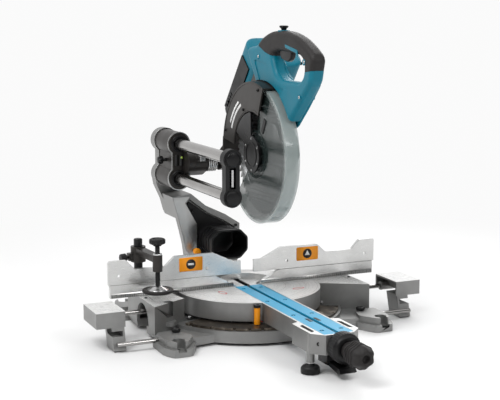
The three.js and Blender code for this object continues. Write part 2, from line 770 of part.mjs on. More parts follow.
function armCasting() {
  const rightEdge = [[-66, 268], [-30, 238], [20, 214], [57, 190], [57, 110], [48, 95]];
  const flange = prism('y', [...flangeEdge, ...rightEdge], armFrontFace, flangeBack);
  const lower = prism('y', [...bodyEdge.slice(0, 6), [-112, 262], ...rightEdge],
    flangeBack - 1, armBackFace);
  const upper = prism('y', [...bodyEdge, [-128, 305], [-76, 312], ...rightEdge],
    holderFront, holderBack);
  const hub = bar('y', tiltRadius, armFrontFace, holderBack, [0, tiltHeight], tiltRadius, 36);
  const neck = prism('y', [[-47, tiltHeight], [-48, 96], [48, 96], [47, tiltHeight]],
    armFrontFace, holderBack);
  const holder = railBlock(lobe + 1, waist + 1, holderFront, holderBack);
  const recess = prism('y', [
    [-52, 120], [-52, 196], [-79, 245], [-70, 256], [-26, 222], [20, 198], [45, 182],
    [45, 120],
  ], armFrontFace - 1, armFrontFace + 24);
  const tiltBore = bar('y', tiltShaft + running, armFrontFace - 1, holderBack - 10,
    [0, tiltHeight]);
  return cut(join(flange, lower, upper, hub, neck, holder), recess, tiltBore,
    ...railBores(seat, holderFront - 1, holderBack - 6));
}

add('arm_casting', armCasting(), 'casting');

add('arm_cover', prism('y', [
  [-49, 124], [-49, 194], [-74, 241], [-69, 249], [-27, 218], [19, 194], [42, 180],
  [42, 124],
], armFrontFace + 6, armFrontFace + 24 - seat), 'black');

add('tilt_shaft', bar('y', tiltShaft, 121, holderBack - 11, [0, tiltHeight]), 'steel');

// Eight-sided duct with an open mouth behind the blade.
function octagon(half, height) {
  const chamfer = half * 0.42;
  return [
    [-half, -height + chamfer], [-half + chamfer, -height], [half - chamfer, -height],
    [half, -height + chamfer], [half, height - chamfer], [half - chamfer, height],
    [-half + chamfer, height], [-half, height - chamfer],
  ].map(([x, z]) => [hoodCentre[0] + x, hoodCentre[1] + z]);
}

add('dust_hood', cut(
  prism('y', octagon(hoodHalf, hoodHeight), hoodFront, armFrontFace - seat),
  prism('y', octagon(hoodHalf - hoodSkin, hoodHeight - hoodSkin), hoodFront - 1,
    armFrontFace + 1),
), 'black');

// Release knob of the tilt lock, pulled forward on its rod.
add('tilt_release', join(
  bar('y', 6, armFrontFace - 17, armFrontFace - running, releasePlace, 6, 12),
  bar('y', 8.5, armFrontFace - 29, armFrontFace - 16, releasePlace, 8.5, 8),
), 'orange');

function rail(z) {
  return cut(
    bar('y', railRadius, railFront, holderBack - 6 - seat, [railX, z], railRadius, 32),
    bar('y', railRadius - 3, railFront + 8, holderBack, [railX, z], railRadius - 3, 16),
  );
}

add('rail_upper', rail(railHigh), 'chrome');
add('rail_lower', rail(railLow), 'chrome');

const capBack = railFront + 3;
const capFront = capBack - capDepth;
const slotLow = (railLow + railHigh - slotLength) / 2;
const slotHigh = slotLow + slotLength;

add('rail_end_cap', cut(
  join(
    railBlock(capLobe, waist - 1, capFront, capBack),
    bar('y', capDisc, capFront - 5, capFront + 2, [railX, railHigh]),
    bar('y', capDisc, capFront - 5, capFront + 2, [railX, railLow]),
  ),
  ...railBores(seat, railFront - seat, capBack + 1),
  block([railX - slotHalf, capFront - 6, slotLow], [railX + slotHalf, capFront + 14, slotHigh]),
), 'black');

// Tilt lock bar in the slot of the end cap.
add('tilt_lock_bar', block([railX - 2.5, capFront + 1, slotLow + 4],
  [railX + 2.5, capFront + 13, slotHigh - 4]), 'steel');

// ---------------------------------------------------------------- carriage

function carriage() {
  const housing = railBlock(lobe - 1, waist, carriageFront, carriageBack);
  const bracket = prism('x', rounded([
    [carriageFront + 4, railLow + 4], [carriageBack - 8, railLow + 12],
    [carriageBack - 8, railHigh - 8], [carriageFront + 4, railHigh - 6],
    [pivot[0] - 8, pivot[1] + 20], [pivot[0] - 19, pivot[1] + 8],
    [pivot[0] - 19, pivot[1] - 8], [pivot[0] - 8, pivot[1] - 20],
  ], 6, 2), railX + 10, -42);
  const boss = bar('x', 20, railX + 24, -16 - running, pivot, 20, 28);
  const screw = bar('x', 4 + running, railX - 30, railX - 2, [carriageFront + 40, 348], 4.7, 12);
  return cut(join(housing, bracket, boss), ...railBores(running, 0, 300),
    bar('x', chopShaft + seat, railX + 30, 0, pivot), screw);
}

add('carriage_housing', carriage(), 'darkCasting');

add('slide_lock_screw', join(
  bar('x', 4, railX - 30, railX - 5, [carriageFront + 40, 348], 4, 12),
  bar('x', 10, railX - 38, railX - 26, [carriageFront + 40, 348], 9, 8),
), 'black');

add('chop_shaft', bar('x', chopShaft, railX + 31, 36, pivot), 'steel');

// ---------------------------------------------------------------- saw head

// Turns a piece modelled with the head down into the raised rest position.
function raised(body) {
  const lift = new THREE.Matrix4().makeRotationX(-THREE.MathUtils.degToRad(chopAngle));
  const place = new THREE.Matrix4().makeTranslation(0, ...pivot).multiply(lift);
  return moved(body, place.multiply(new THREE.Matrix4().makeTranslation(0, ...pivot.map((v) => -v))));
}

// The arbor with the head down, where the motor lies level.
const chop = THREE.MathUtils.degToRad(chopAngle);
const arborDown = [
  pivot[0] + (arbor[0] - pivot[0]) * Math.cos(chop) - (arbor[1] - pivot[1]) * Math.sin(chop),
  pivot[1] + (arbor[0] - pivot[0]) * Math.sin(chop) + (arbor[1] - pivot[1]) * Math.cos(chop),
];

function bladeCase() {
  const wall = (a, b, inner) =>
    sector('x', caseOuter, inner, caseFrom, caseTo, a, b, arbor, 20);
  const lug = prism('x', rounded([
    [arbor[0] + caseInner * 0.93, arbor[1] + 52], [arbor[0] + caseInner + 2, arbor[1] + 20],
    [pivot[0] - 8, pivot[1] + 22], [pivot[0] + 18, pivot[1] + 14], [pivot[0] + 22, pivot[1]],
    [pivot[0] + 14, pivot[1] - 18], [pivot[0] - 8, pivot[1] - 22],
    [arbor[0] + caseInner + 2, arbor[1] - 40], [arbor[0] + caseInner + 2, arbor[1] - 10],
  ], 3, 1), -15, caseRight);
  const tail = sector('x', caseOuter + 2, caseInner, -14, caseFrom + 1, caseLeft, caseRight,
    arbor, 6);
  const shell = join(wall(caseLeft, caseLeft + caseSkin, 92), wall(caseLeft, caseRight, caseInner),
    wall(caseRight - caseSkin, caseRight, 46), tail, lug);
  const shaft = bar('x', chopShaft + running, -40, 60, pivot);
  const guardRoom = bar('x', caseInner, -guardHalf - 1, guardHalf + 1, arbor, caseInner, 60);
  return cut(shell, shaft, guardRoom);
}

add('blade_case', bladeCase(), 'darkCasting');

// Left cover over the arbor, carried by an arm from the blade case.
function centreCover() {
  const disc = bar('x', 40, caseLeft, caseLeft + 4, arbor, 40, 32);
  const boss = tube('x', 30, 26, caseLeft + 3, -guardHalf + guardSkin, arbor, 32);
  const strap = sector('x', 89, 20, 28, 88, caseLeft, caseLeft + caseSkin, arbor, 8);
  return join(disc, boss, strap);
}

add('centre_cover', centreCover(), 'black');

// Clear guard: two side plates joined by the rim, turning about the arbor.
function lowerGuard() {
  const side = (a, b, inner) =>
    sector('x', guardRadius, inner, guardFrom, guardTo, a, b, arbor, 32);
  const rim = sector('x', guardRadius, guardRadius - guardSkin, guardFrom, guardTo,
    -guardHalf, guardHalf, arbor, 32);
  const leftHub = tube('x', 44, 30 + running, -guardHalf, -guardHalf + guardSkin, arbor, 24);
  const rightHub = tube('x', 56, 43 + running, guardHalf - guardSkin, guardHalf, arbor, 24);
  return join(side(-guardHalf, -guardHalf + guardSkin, 40), side(guardHalf - guardSkin, guardHalf, 52), rim,
    leftHub, rightHub);
}

add('lower_guard', lowerGuard(), 'clear');

// Saw blade with raked teeth.
function sawBlade() {
  const step = 360 / teeth;
  const outline = Array.from({ length: teeth }, (_, i) => [
    polar(arbor, bladeRadius, i * step),
    polar(arbor, bladeRadius - 2, (i + 0.45) * step),
    polar(arbor, bladeRadius - 9, (i + 0.9) * step),
  ]).flat();
  const disc = prism('x', outline, -bladeThick / 2, bladeThick / 2);
  return cut(disc, bar('x', arborBore, -3, 3, arbor, arborBore, 32));
}

add('saw_blade', sawBlade(), 'steel');

const flangeIn = bladeThick / 2 + seat;

add('spindle', join(
  bar('x', arborBore - seat, -bladeThick / 2 - 0.2, bladeThick / 2 + 0.2, arbor,
    arborBore - seat, 32),
  bar('x', 24, flangeIn, flangeIn + 6, arbor, 24, 28),
  bar('x', spindleRadius, -8, 58, arbor, spindleRadius, 20),
), 'steel');
add('outer_flange', tube('x', 24, spindleRadius + seat, -flangeIn - 5, -flangeIn, arbor, 28),
  'darkCasting');
add('arbor_bolt', turned('x', [
  [0, -19], [8.5, -19], [8.5, -12], [13, -12], [13, -8 - seat], [0, -8 - seat],
], arbor, 6), 'steel');

// Gear case from the arbor up to the motor, on the right of the blade.
function gearCase() {
  const neck = bar('x', 43, 9, caseRight + 12, arborDown, 43, 32);
  const bodyShape = prism('x', [
    [arborDown[0] - 48, arborDown[1] - 6], [arborDown[0] - 30, arborDown[1] - 38],
    [arborDown[0] + 30, arborDown[1] - 38], [arborDown[0] + 50, arborDown[1] - 4],
    [60, motorBottom - seat], [-96, motorBottom - seat],
  ], caseRight + seat, 66);
  const bearing = bar('x', spindleRadius + running, 0, 59, arborDown, spindleRadius + running, 20);
  return raised(cut(join(neck, bodyShape), bearing));
}

add('gear_case', gearCase(), 'darkCasting');

function motorHousing() {
  const section = rounded([
    [motorLeft, motorBottom], [motorRight, motorBottom], [motorRight, motorTop],
    [motorLeft, motorTop],
  ], 26, 3);
  const body = prism('y', section, motorFront, motorBack);
  const panel = block([motorLeft - 1, motorFront + 34, motorBottom + 26],
    [motorLeft + 5, motorBack - 8, motorTop - 22]);
  const rearSlope = prism('x', [
    [motorBack + 1, motorBottom - 1], [motorBack - 22, motorBottom - 1],
    [motorBack + 1, motorBottom + 34],
  ], motorLeft - 1, motorRight + 1);
  return raised(cut(body, panel, rearSlope));
}

add('motor_housing', motorHousing(), 'teal');

function motorCover() {
  const plate = block([motorLeft - 3, motorFront + 34 + seat, motorBottom + 26 + seat],
    [motorLeft + 5 - seat, motorBack - 8 - seat, motorTop - 22 - seat]);
  const slots = [0, 1, 2, 3, 4].map((i) =>
    block([motorLeft - 4, motorBack - 60 + 9 * i, motorBottom + 34],
      [motorLeft + 1, motorBack - 56 + 9 * i, motorTop - 30]));
  return raised(cut(plate, ...slots));
}

add('motor_cover', motorCover(), 'black');

// End cover with the air grille at the back of the motor.
function motorEndCover() {
  const plate = prism('y', rounded([
    [motorLeft + 4, motorBottom + 36], [motorRight - 4, motorBottom + 36],
    [motorRight - 4, motorTop - 4], [motorLeft + 4, motorTop - 4],
  ], 22, 3), motorBack + seat, motorBack + 10);
  const slots = [0, 1, 2, 3].map((i) =>
    block([motorLeft + 24, motorBack + 4, motorBottom + 46 + 11 * i],
      [motorRight - 24, motorBack + 11, motorBottom + 51 + 11 * i]));
  return raised(cut(plate, ...slots));
}

add('motor_end_cover', motorEndCover(), 'black');

function brushCap() {
  const place = [motorBack - 42, (motorBottom + motorTop) / 2];
  return raised(bar('x', 10, motorRight + seat, motorRight + 6, place, 9, 16));
}

add('brush_cap', brushCap(), 'black');

// ---------------------------------------------------------------- handle

const handleOutline = [
  [4, 611], [-52, 616], [-78, 634], [-118, 647], [-160, 650], [-200, 648], [-232, 642],
  [-262, 633], [-292, 619], [-314, 606], [-320, 594], [-314, 574], [-308, 550],
  [-249, 497], [-198, 452], [-150, 470], [-60, 520],
];
const fingerHole = rounded([
  [-128, 602], [-150, 562], [-178, 549], [-258, 549], [-277, 562], [-280, 588],
  [-258, 603], [-160, 609],
], 8, 2);
// Line between the soft grip above and the painted body below.
const gripEdge = [
  [-54, 660], [-64, 618], [-100, 604], [-140, 596], [-190, 580], [-228, 564], [-330, 577],
  [-400, 577], [-400, 660],
];

const triggerPocket = [
  [-140, 590], [-206, 590], [-216, 612], [-206, 628], [-150, 628], [-138, 612],
];

function handleRing(left, right) {
  return cut(
    prism('x', rounded(handleOutline, 10, 2), left, right),
    prism('x', fingerHole, left - 1, right + 1),
  );
}

function handleBody() {
  const guardRoom = bar('x', caseOuter + 3, gripLeft - 1, caseRight + running, arbor,
    caseOuter + 3, 60);
  const above = prism('x', gripEdge.map(([y, z]) => [y, z - seat]), gripLeft - 1, gripRight + 12);
  const web = prism('x', rounded([
    [-10, 600], [-120, 596], [-180, 545], [-228, 545], [-300, 548], [-249, 497], [-198, 452],
    [-110, 440], [-30, 500],
  ], 8, 2), caseRight + running, gripRight);
  const motorRoom = raised(block([caseRight, motorFront - seat, motorBottom - 200],
    [motorRight, motorBack, motorTop + 40]));
  const coverRoom = raised(block([motorLeft - 4, motorFront + 30, motorBottom + 20],
    [motorRight, motorBack, motorTop - 18]));
  const solidHandle = join(handleRing(gripLeft, gripRight), cut(web, prism('x', fingerHole, 0, 60)));
  return cut(solidHandle, above, guardRoom, motorRoom, coverRoom,
    prism('x', triggerPocket, gripLeft + 9, gripRight - 9));
}

function handleGrip() {
  const above = prism('x', gripEdge, gripLeft - 2, gripRight + 2);
  const grip = handleRing(gripLeft, gripRight).intersect(above);
  return cut(grip, prism('x', triggerPocket, gripLeft + 9, gripRight - 9),
    bar('z', buttonRadius + running, 600, 670, buttonPlace, buttonRadius + running, 16));
}

add('handle_body', handleBody(), 'teal');
add('handle_grip', handleGrip(), 'rubber');

add('trigger', prism('x', rounded([
  [-148, 618], [-150, 596], [-164, 590], [-186, 586], [-200, 592], [-206, 604], [-200, 618],
], 4, 2), gripLeft + 10, gripRight - 10), 'black');

add('lock_off_button', turned('z', [
  [0, 630], [buttonRadius, 630], [buttonRadius, 653], [7.5, 656], [7.5, 660], [0, 660],
], buttonPlace, 16), 'black');

export default parts;
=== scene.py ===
"""Looks of a sliding mitre saw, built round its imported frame. Lengths in here are millimetres."""
import json
import math

import bmesh
import bpy
from mathutils import Matrix, Vector


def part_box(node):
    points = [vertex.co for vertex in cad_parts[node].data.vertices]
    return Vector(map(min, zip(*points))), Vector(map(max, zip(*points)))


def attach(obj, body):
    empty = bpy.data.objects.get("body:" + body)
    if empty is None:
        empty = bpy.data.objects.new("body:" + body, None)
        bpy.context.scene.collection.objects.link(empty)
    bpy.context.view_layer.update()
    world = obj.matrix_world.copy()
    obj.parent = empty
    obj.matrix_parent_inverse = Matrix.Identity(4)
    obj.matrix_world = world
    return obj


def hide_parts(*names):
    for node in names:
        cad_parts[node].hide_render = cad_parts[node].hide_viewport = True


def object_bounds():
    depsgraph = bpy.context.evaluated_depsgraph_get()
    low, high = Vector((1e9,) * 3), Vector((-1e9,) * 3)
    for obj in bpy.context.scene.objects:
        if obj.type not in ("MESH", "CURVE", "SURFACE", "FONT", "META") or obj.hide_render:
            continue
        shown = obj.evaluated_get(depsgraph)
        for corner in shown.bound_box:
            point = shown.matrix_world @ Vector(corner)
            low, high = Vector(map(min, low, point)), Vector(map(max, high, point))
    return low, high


bl_info = {
    "name": "Sliding mitre saw",
    "version": (1, 0, 0),
    "blender": (4, 5, 0),
    "location": "View3D > Sidebar > Mitre saw",
    "description": "Builds the finished pieces of a sliding mitre saw on its frame",
    "category": "Object",
}

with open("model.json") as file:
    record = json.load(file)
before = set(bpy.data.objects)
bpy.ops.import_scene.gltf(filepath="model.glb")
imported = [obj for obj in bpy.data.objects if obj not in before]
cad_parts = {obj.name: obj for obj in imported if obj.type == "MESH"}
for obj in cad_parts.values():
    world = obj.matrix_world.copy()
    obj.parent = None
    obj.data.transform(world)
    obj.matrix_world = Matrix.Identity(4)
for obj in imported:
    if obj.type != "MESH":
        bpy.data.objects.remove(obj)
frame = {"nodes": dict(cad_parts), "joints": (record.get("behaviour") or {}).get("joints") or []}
CAD_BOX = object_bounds()

MM = 0.001
SIDES = ((-1, "left"), (1, "right"))


# ---------------------------------------------------------------- places from the frame

def span(node):
    """Lowest and highest corner of a frame node, in millimetres."""
    low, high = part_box(node)
    return low / MM, high / MM


def joint_place(name):
    """The point on a joint's axis, in millimetres."""
    joint = next(joint for joint in frame["joints"] if joint["name"] == name)
    return Vector(joint["pos_m"]) / MM


TABLE_TOP = span("base_casting")[1].z
DISC_RADIUS = span("turntable")[1].x
PIVOT = joint_place("head_chop")
ARBOR = joint_place("blade_spin")
TILT_AXIS = joint_place("bevel_tilt")
SCREW = joint_place("vise_screw_turn")
POST = joint_place("vise_swing")
GRIP_AXIS = joint_place("mitre_grip_turn")
FOOT_BOLT = joint_place("foot_bolt_turn")
RAIL_X = (span("rail_upper")[0].x + span("rail_upper")[1].x) / 2
RAIL_HIGH = (span("rail_upper")[0].z + span("rail_upper")[1].z) / 2
RAIL_LOW = (span("rail_lower")[0].z + span("rail_lower")[1].z) / 2
RAILS = (("upper", RAIL_HIGH), ("lower", RAIL_LOW))
CHOP = math.radians(50)  # the head stands this far above its lowest place
RAISE = (Matrix.Translation(PIVOT * MM) @ Matrix.Rotation(-CHOP, 4, "X")
         @ Matrix.Translation(-PIVOT * MM))


# ---------------------------------------------------------------- meshes

def spot(axis, u, v, along):
    """Point in metres from two millimetre coordinates across an axis and one along it."""
    return Vector({"x": (along, u, v), "y": (u, along, v), "z": (u, v, along)}[axis]) * MM


def object_from(name, bm):
    """Makes an object from a bmesh, with its faces turned outwards and smooth shading."""
    bmesh.ops.remove_doubles(bm, verts=bm.verts, dist=2e-6)
    bmesh.ops.recalc_face_normals(bm, faces=bm.faces)
    for face in bm.faces:
        face.smooth = True
    mesh = bpy.data.meshes.new(name)
    bm.to_mesh(mesh)
    bm.free()
    thing = bpy.data.objects.new(name, mesh)
    bpy.context.scene.collection.objects.link(thing)
    return thing


def settled(thing):
    """Turns a curve, or a mesh with modifiers, into a plain mesh object of the same name."""
    bpy.context.view_layer.update()
    depsgraph = bpy.context.evaluated_depsgraph_get()
    mesh = bpy.data.meshes.new_from_object(thing.evaluated_get(depsgraph))
    mesh.transform(thing.matrix_world)
    bm = bmesh.new()
    bm.from_mesh(mesh)
    name = thing.name
    bpy.data.objects.remove(thing)
    bpy.data.meshes.remove(mesh)
    return object_from(name, bm)


def blocks(name, places):
    """Small blocks in one object: each place is (centre, size, turn as a matrix)."""
    bm = bmesh.new()
    for centre, size, turn in places:
        made = bmesh.ops.create_cube(bm, size=1)["verts"]
        bmesh.ops.scale(bm, vec=Vector(size) * MM, verts=made)
        bmesh.ops.rotate(bm, matrix=turn, verts=made)
        bmesh.ops.translate(bm, vec=Vector(centre) * MM, verts=made)
    return object_from(name, bm)


def lathe(name, axis, profile, centre=(0, 0), steps=64, closed=False, ribs=None):
    """Turned piece from [radius, along] points; ribs is (count, depth, from this radius up)."""
    bm = bmesh.new()
    rings = []
    for radius, along in profile:
        if radius < 1e-6:
            rings.append([bm.verts.new(spot(axis, *centre, along))])
            continue
        ring = []
        for k in range(steps):
            angle = math.tau * k / steps
            r = radius
            if ribs and radius >= ribs[2]:
                r -= ribs[1] * (0.5 + 0.5 * math.cos(ribs[0] * angle))
            ring.append(bm.verts.new(spot(
                axis, centre[0] + r * math.cos(angle), centre[1] + r * math.sin(angle), along)))
        rings.append(ring)
    pairs = list(zip(rings, rings[1:])) + ([(rings[-1], rings[0])] if closed else [])
    for a, b in pairs:
        for k in range(steps):
            corners = [a[k % len(a)], a[(k + 1) % len(a)], b[(k + 1) % len(b)], b[k % len(b)]]
            corners = list(dict.fromkeys(corners))
            if len(corners) > 2:
                bm.faces.new(corners)
    return object_from(name, bm)


def slab(name, axis, outline, a, b, holes=(), edge=0.0, rings=3):
    """Plate with an outline and holes across an axis, from a to b, its edges rounded."""
    curve = bpy.data.curves.new(name, "CURVE")
    curve.dimensions = "2D"
    curve.fill_mode = "BOTH"
    for loop in (outline, *holes):
        spline = curve.splines.new("POLY")
        spline.points.add(len(loop) - 1)
        for point, (u, v) in zip(spline.points, loop):
            point.co = (u * MM, v * MM, 0, 1)
        spline.use_cyclic_u = True
    curve.extrude = ((b - a) / 2 - edge) * MM
    curve.bevel_depth = edge * MM
    curve.bevel_resolution = rings
    curve.offset = -edge * MM
    thing = bpy.data.objects.new(name, curve)
    bpy.context.scene.collection.objects.link(thing)
    turn = {
        "x": Matrix(((0, 0, 1), (1, 0, 0), (0, 1, 0))),
        "y": Matrix(((1, 0, 0), (0, 0, -1), (0, 1, 0))),
        "z": Matrix.Identity(3),
    }[axis]
    thing.matrix_world = Matrix.Translation(spot(axis, 0, 0, (a + b) / 2)) @ turn.to_4x4()
    return settled(thing)


def box(name, low, high):
    """Box between two corners."""
    bm = bmesh.new()
    bmesh.ops.create_cube(bm, size=1)
    size = [(high[i] - low[i]) * MM for i in range(3)]
    middle = [(high[i] + low[i]) / 2 * MM for i in range(3)]
    bmesh.ops.scale(bm, vec=size, verts=bm.verts)
    bmesh.ops.translate(bm, vec=middle, verts=bm.verts)
    return object_from(name, bm)


def rod(name, points, radius, sides=10):
    """Round wire through points."""
    curve = bpy.data.curves.new(name, "CURVE")
    curve.dimensions = "3D"
    spline = curve.splines.new("POLY")
    spline.points.add(len(points) - 1)
    for point, place in zip(spline.points, points):
        point.co = (*(Vector(place) * MM), 1)
    curve.bevel_depth = radius * MM
    curve.bevel_resolution = sides // 4
    curve.use_fill_caps = True
    thing = bpy.data.objects.new(name, curve)
    bpy.context.scene.collection.objects.link(thing)
    return settled(thing)


def threaded(name, axis, radius, pitch, a, b, centre=(0, 0), depth=0.7, steps=24):
    """Screw thread as one helical surface with flat ends."""
    bm = bmesh.new()
    rows = max(2, round((b - a) / pitch * 6))
    rings = []
    for row in range(rows + 1):
        along = a + (b - a) * row / rows
        ring = []
        for k in range(steps):
            turn = (along / pitch - k / steps) % 1
            r = radius - depth * abs(2 * turn - 1)
            angle = math.tau * k / steps
            ring.append(bm.verts.new(spot(
                axis, centre[0] + r * math.cos(angle), centre[1] + r * math.sin(angle), along)))
        rings.append(ring)
    for low, high in zip(rings, rings[1:]):
        for k in range(steps):
            bm.faces.new([low[k], low[(k + 1) % steps], high[(k + 1) % steps], high[k]])
    bm.faces.new(rings[0])
    bm.faces.new(rings[-1])
    return object_from(name, bm)


def merged(name, *things):
    """Joins pieces of one finish into one object."""
    bm = bmesh.new()
    for thing in things:
        bm.from_mesh(thing.data)
        bpy.data.objects.remove(thing)
    for face in bm.faces:
        face.smooth = True
    mesh = bpy.data.meshes.new(name)
    bm.to_mesh(mesh)
    bm.free()
    whole = bpy.data.objects.new(name, mesh)
    bpy.context.scene.collection.objects.link(whole)
    return whole


def carved(thing, *tools, operation="DIFFERENCE"):
    """Cuts the tools out of a piece, or keeps or adds what the operation says."""
    for tool in tools:
        change = thing.modifiers.new("carve", "BOOLEAN")
        change.operation = operation
        change.solver = "EXACT"
        change.object = tool
    name = thing.name
    whole = settled(thing)
    for tool in tools:
        bpy.data.objects.remove(tool)
    whole.name = name
    return whole


def raised(thing):
    """Lifts a piece that is shaped with the head down to the head's rest."""
    thing.data.transform(RAISE)
    return thing


def polar(centre, radius, degrees):
    angle = math.radians(degrees)
    return (centre[0] + radius * math.cos(angle), centre[1] + radius * math.sin(angle))


def arc(centre, radius, start, end, steps):
    return [polar(centre, radius, start + (end - start) * k / steps) for k in range(steps + 1)]


def ring_outline(centre, radius, steps=32):
    return arc(centre, radius, 0, 360 - 360 / steps, steps - 1)


def sector(centre, outer, inner, start, end, steps=48):
    return arc(centre, outer, start, end, steps) + arc(centre, inner, end, start, steps)


def rounded(outline, radius, steps=6):
    """Outline with each corner rounded by up to the given radius."""
    loop = []
    for i, corner in enumerate(outline):
        here = Vector(corner)
        before = Vector(outline[i - 1]) - here
        after = Vector(outline[(i + 1) % len(outline)]) - here
        reach = min(radius, before.length * 0.45, after.length * 0.45)
        start = here + before.normalized() * reach
        end = here + after.normalized() * reach
        for k in range(steps + 1):
            t = k / steps
            loop.append(tuple((1 - t) ** 2 * start + 2 * t * (1 - t) * here + t * t * end))
    return loop


def rectangle(u0, v0, u1, v1, radius=0.0):
    outline = [(u0, v0), (u1, v0), (u1, v1), (u0, v1)]
    return rounded(outline, radius) if radius else outline


def softened(thing, width, segments=2, angle=32):
    """Rounds the hard edges of a piece and gives it clean shading."""
    weld = thing.modifiers.new("weld", "WELD")
    weld.merge_threshold = 2e-6
    flat = thing.modifiers.new("flat faces", "DECIMATE")
    flat.decimate_type = "DISSOLVE"
    flat.angle_limit = math.radians(0.6)
    bevel = thing.modifiers.new("rounded edges", "BEVEL")
    bevel.width = width * MM
    bevel.segments = segments
    bevel.limit_method = "ANGLE"
    bevel.angle_limit = math.radians(angle)
    bevel.harden_normals = False
    bevel.miter_outer = "MITER_ARC"
    normals = thing.modifiers.new("clean shading", "WEIGHTED_NORMAL")
    normals.weight = 60
    normals.keep_sharp = False
    return thing


# ---------------------------------------------------------------- finishes

def lit(material):
    return material.node_tree.nodes["Principled BSDF"]


def base_finish(name, colour, roughness, metallic=0.0, **more):
    """A principled material with its constant values set on the shader."""
    material = bpy.data.materials.new(name)
    material.use_nodes = True
    shader = lit(material)
    shader.inputs["Base Color"].default_value = (*colour, 1)
    shader.inputs["Roughness"].default_value = roughness
    shader.inputs["Metallic"].default_value = metallic
    for socket, value in more.items():
        shader.inputs[socket.replace("_", " ")].default_value = value
    return material


def add_node(material, kind, **inputs):
    """A node of a material or a world, with its constant inputs."""
    node = material.node_tree.nodes.new(kind)
    for socket, value in inputs.items():
        node.inputs[socket.replace("_", " ")].default_value = value
    return node


def wire(material, source, target):
    material.node_tree.links.new(source, target)


def object_place(material, stretch=(1, 1, 1)):
    """Object coordinates in metres, stretched to draw out a grain."""
    coordinates = add_node(material, "ShaderNodeTexCoord")
    mapping = add_node(material, "ShaderNodeMapping", Scale=stretch)
    wire(material, coordinates.outputs["Object"], mapping.inputs["Vector"])
    return mapping.outputs["Vector"]


def noise(material, place, scale, detail=4.0, roughness=0.55):
    node = add_node(material, "ShaderNodeTexNoise", Scale=scale, Detail=detail,
                    Roughness=roughness)
    wire(material, place, node.inputs["Vector"])
    return node.outputs["Fac"]


def ramp(material, factor, stops):
    """Colour ramp of (position, colour) stops."""
    node = material.node_tree.nodes.new("ShaderNodeValToRGB")
    elements = node.color_ramp.elements
    while len(elements) < len(stops):
        elements.new(0.5)
    for element, (position, colour) in zip(elements, stops):
        element.position = position
        element.color = (*colour, 1)
    wire(material, factor, node.inputs["Fac"])
    return node.outputs["Color"]


def remap(material, factor, low, high, start=0.0, end=1.0):
    node = add_node(material, "ShaderNodeMapRange", From_Min=start, From_Max=end, To_Min=low,
                    To_Max=high)
    wire(material, factor, node.inputs["Value"])
    return node.outputs["Result"]


def mix(material, factor, a, b):
    node = material.node_tree.nodes.new("ShaderNodeMix")
    node.data_type = "RGBA"
    wire(material, factor, node.inputs[0])
    for source, socket in ((a, node.inputs[6]), (b, node.inputs[7])):
        if hasattr(source, "links"):
            wire(material, source, socket)
        else:
            socket.default_value = (*source, 1)
    return node.outputs[2]


def bumped(material, heights):
    """Chains bumps of (height, strength, distance in millimetres)."""
    normal = None
    for height, strength, distance in heights:
        node = add_node(material, "ShaderNodeBump", Strength=strength, Distance=distance * MM)
        wire(material, height, node.inputs["Height"])
        if normal:
            wire(material, normal, node.inputs["Normal"])
        normal = node.outputs["Normal"]
    wire(material, normal, lit(material).inputs["Normal"])


def varied(material, place, colour, spread, scale, roughness):
    """Slow variation of the colour by a share, and of the roughness between two values."""
    slow = noise(material, place, scale, 3.0)
    light = tuple(min(1, c * (1 + spread)) for c in colour)
    dark = tuple(c * (1 - spread) for c in colour)
    wire(material, ramp(material, slow, [(0.3, dark), (0.7, light)]),
         lit(material).inputs["Base Color"])
    wire(material, remap(material, slow, *roughness, 0.3, 0.7), lit(material).inputs["Roughness"])


def cast_finish(name, colour, metallic, roughness):
    """Blasted casting: pebbled skin and slight blotches."""
    material = base_finish(name, colour, roughness, metallic)
    place = object_place(material)
    varied(material, place, colour, 0.09, 22, (roughness - 0.06, roughness + 0.08))
    grain = noise(material, place, 900, 2.0)
    pits = noise(material, place, 2600, 2.0)
    bumped(material, [(grain, 0.35, 0.12), (pits, 0.25, 0.05)])
    return material


def table_finish(name, colour, bright, height, concentric=False):
    """Casting whose top face at a height is machined bright, with tool marks."""
    material = base_finish(name, colour, 0.42, 0.85)
    place = object_place(material)
    coordinates = add_node(material, "ShaderNodeSeparateXYZ")
    wire(material, place, coordinates.inputs[0])
    top = remap(material, coordinates.outputs["Z"], 0, 1, (height - 0.5) * MM,
                (height - 0.3) * MM)
    if concentric:
        flat = material.node_tree.nodes.new("ShaderNodeCombineXYZ")
        wire(material, coordinates.outputs["X"], flat.inputs["X"])
        wire(material, coordinates.outputs["Y"], flat.inputs["Y"])
        length = material.node_tree.nodes.new("ShaderNodeVectorMath")
        length.operation = "LENGTH"
        wire(material, flat.outputs[0], length.inputs[0])
        out = material.node_tree.nodes.new("ShaderNodeCombineXYZ")
        wire(material, length.outputs["Value"], out.inputs["X"])
        marks = noise(material, out.outputs[0], 1500, 3.0)
    else:
        marks = noise(material, object_place(material, (1, 40, 1)), 60, 3.0)
    blotch = noise(material, place, 18, 3.0)
    cast = ramp(material, blotch, [(0.3, tuple(c * 0.88 for c in colour)),
                                   (0.7, tuple(min(1, c * 1.1) for c in colour))])
    cut = ramp(material, marks, [(0.3, tuple(c * 0.86 for c in bright)), (0.7, bright)])
    wire(material, mix(material, top, cast, cut), lit(material).inputs["Base Color"])
    wire(material, remap(material, top, 0.75, 0.3), lit(material).inputs["Metallic"])
    rough = remap(material, marks, 0.22, 0.38, 0.3, 0.7)
    node = material.node_tree.nodes.new("ShaderNodeMix")
    node.inputs[2].default_value = 0.48
    wire(material, top, node.inputs[0])
    wire(material, rough, node.inputs[3])
    wire(material, node.outputs[0], lit(material).inputs["Roughness"])
    grain = noise(material, place, 1000, 2.0)
    bumped(material, [(grain, 0.18, 0.08), (marks, 0.08, 0.02)])
    return material


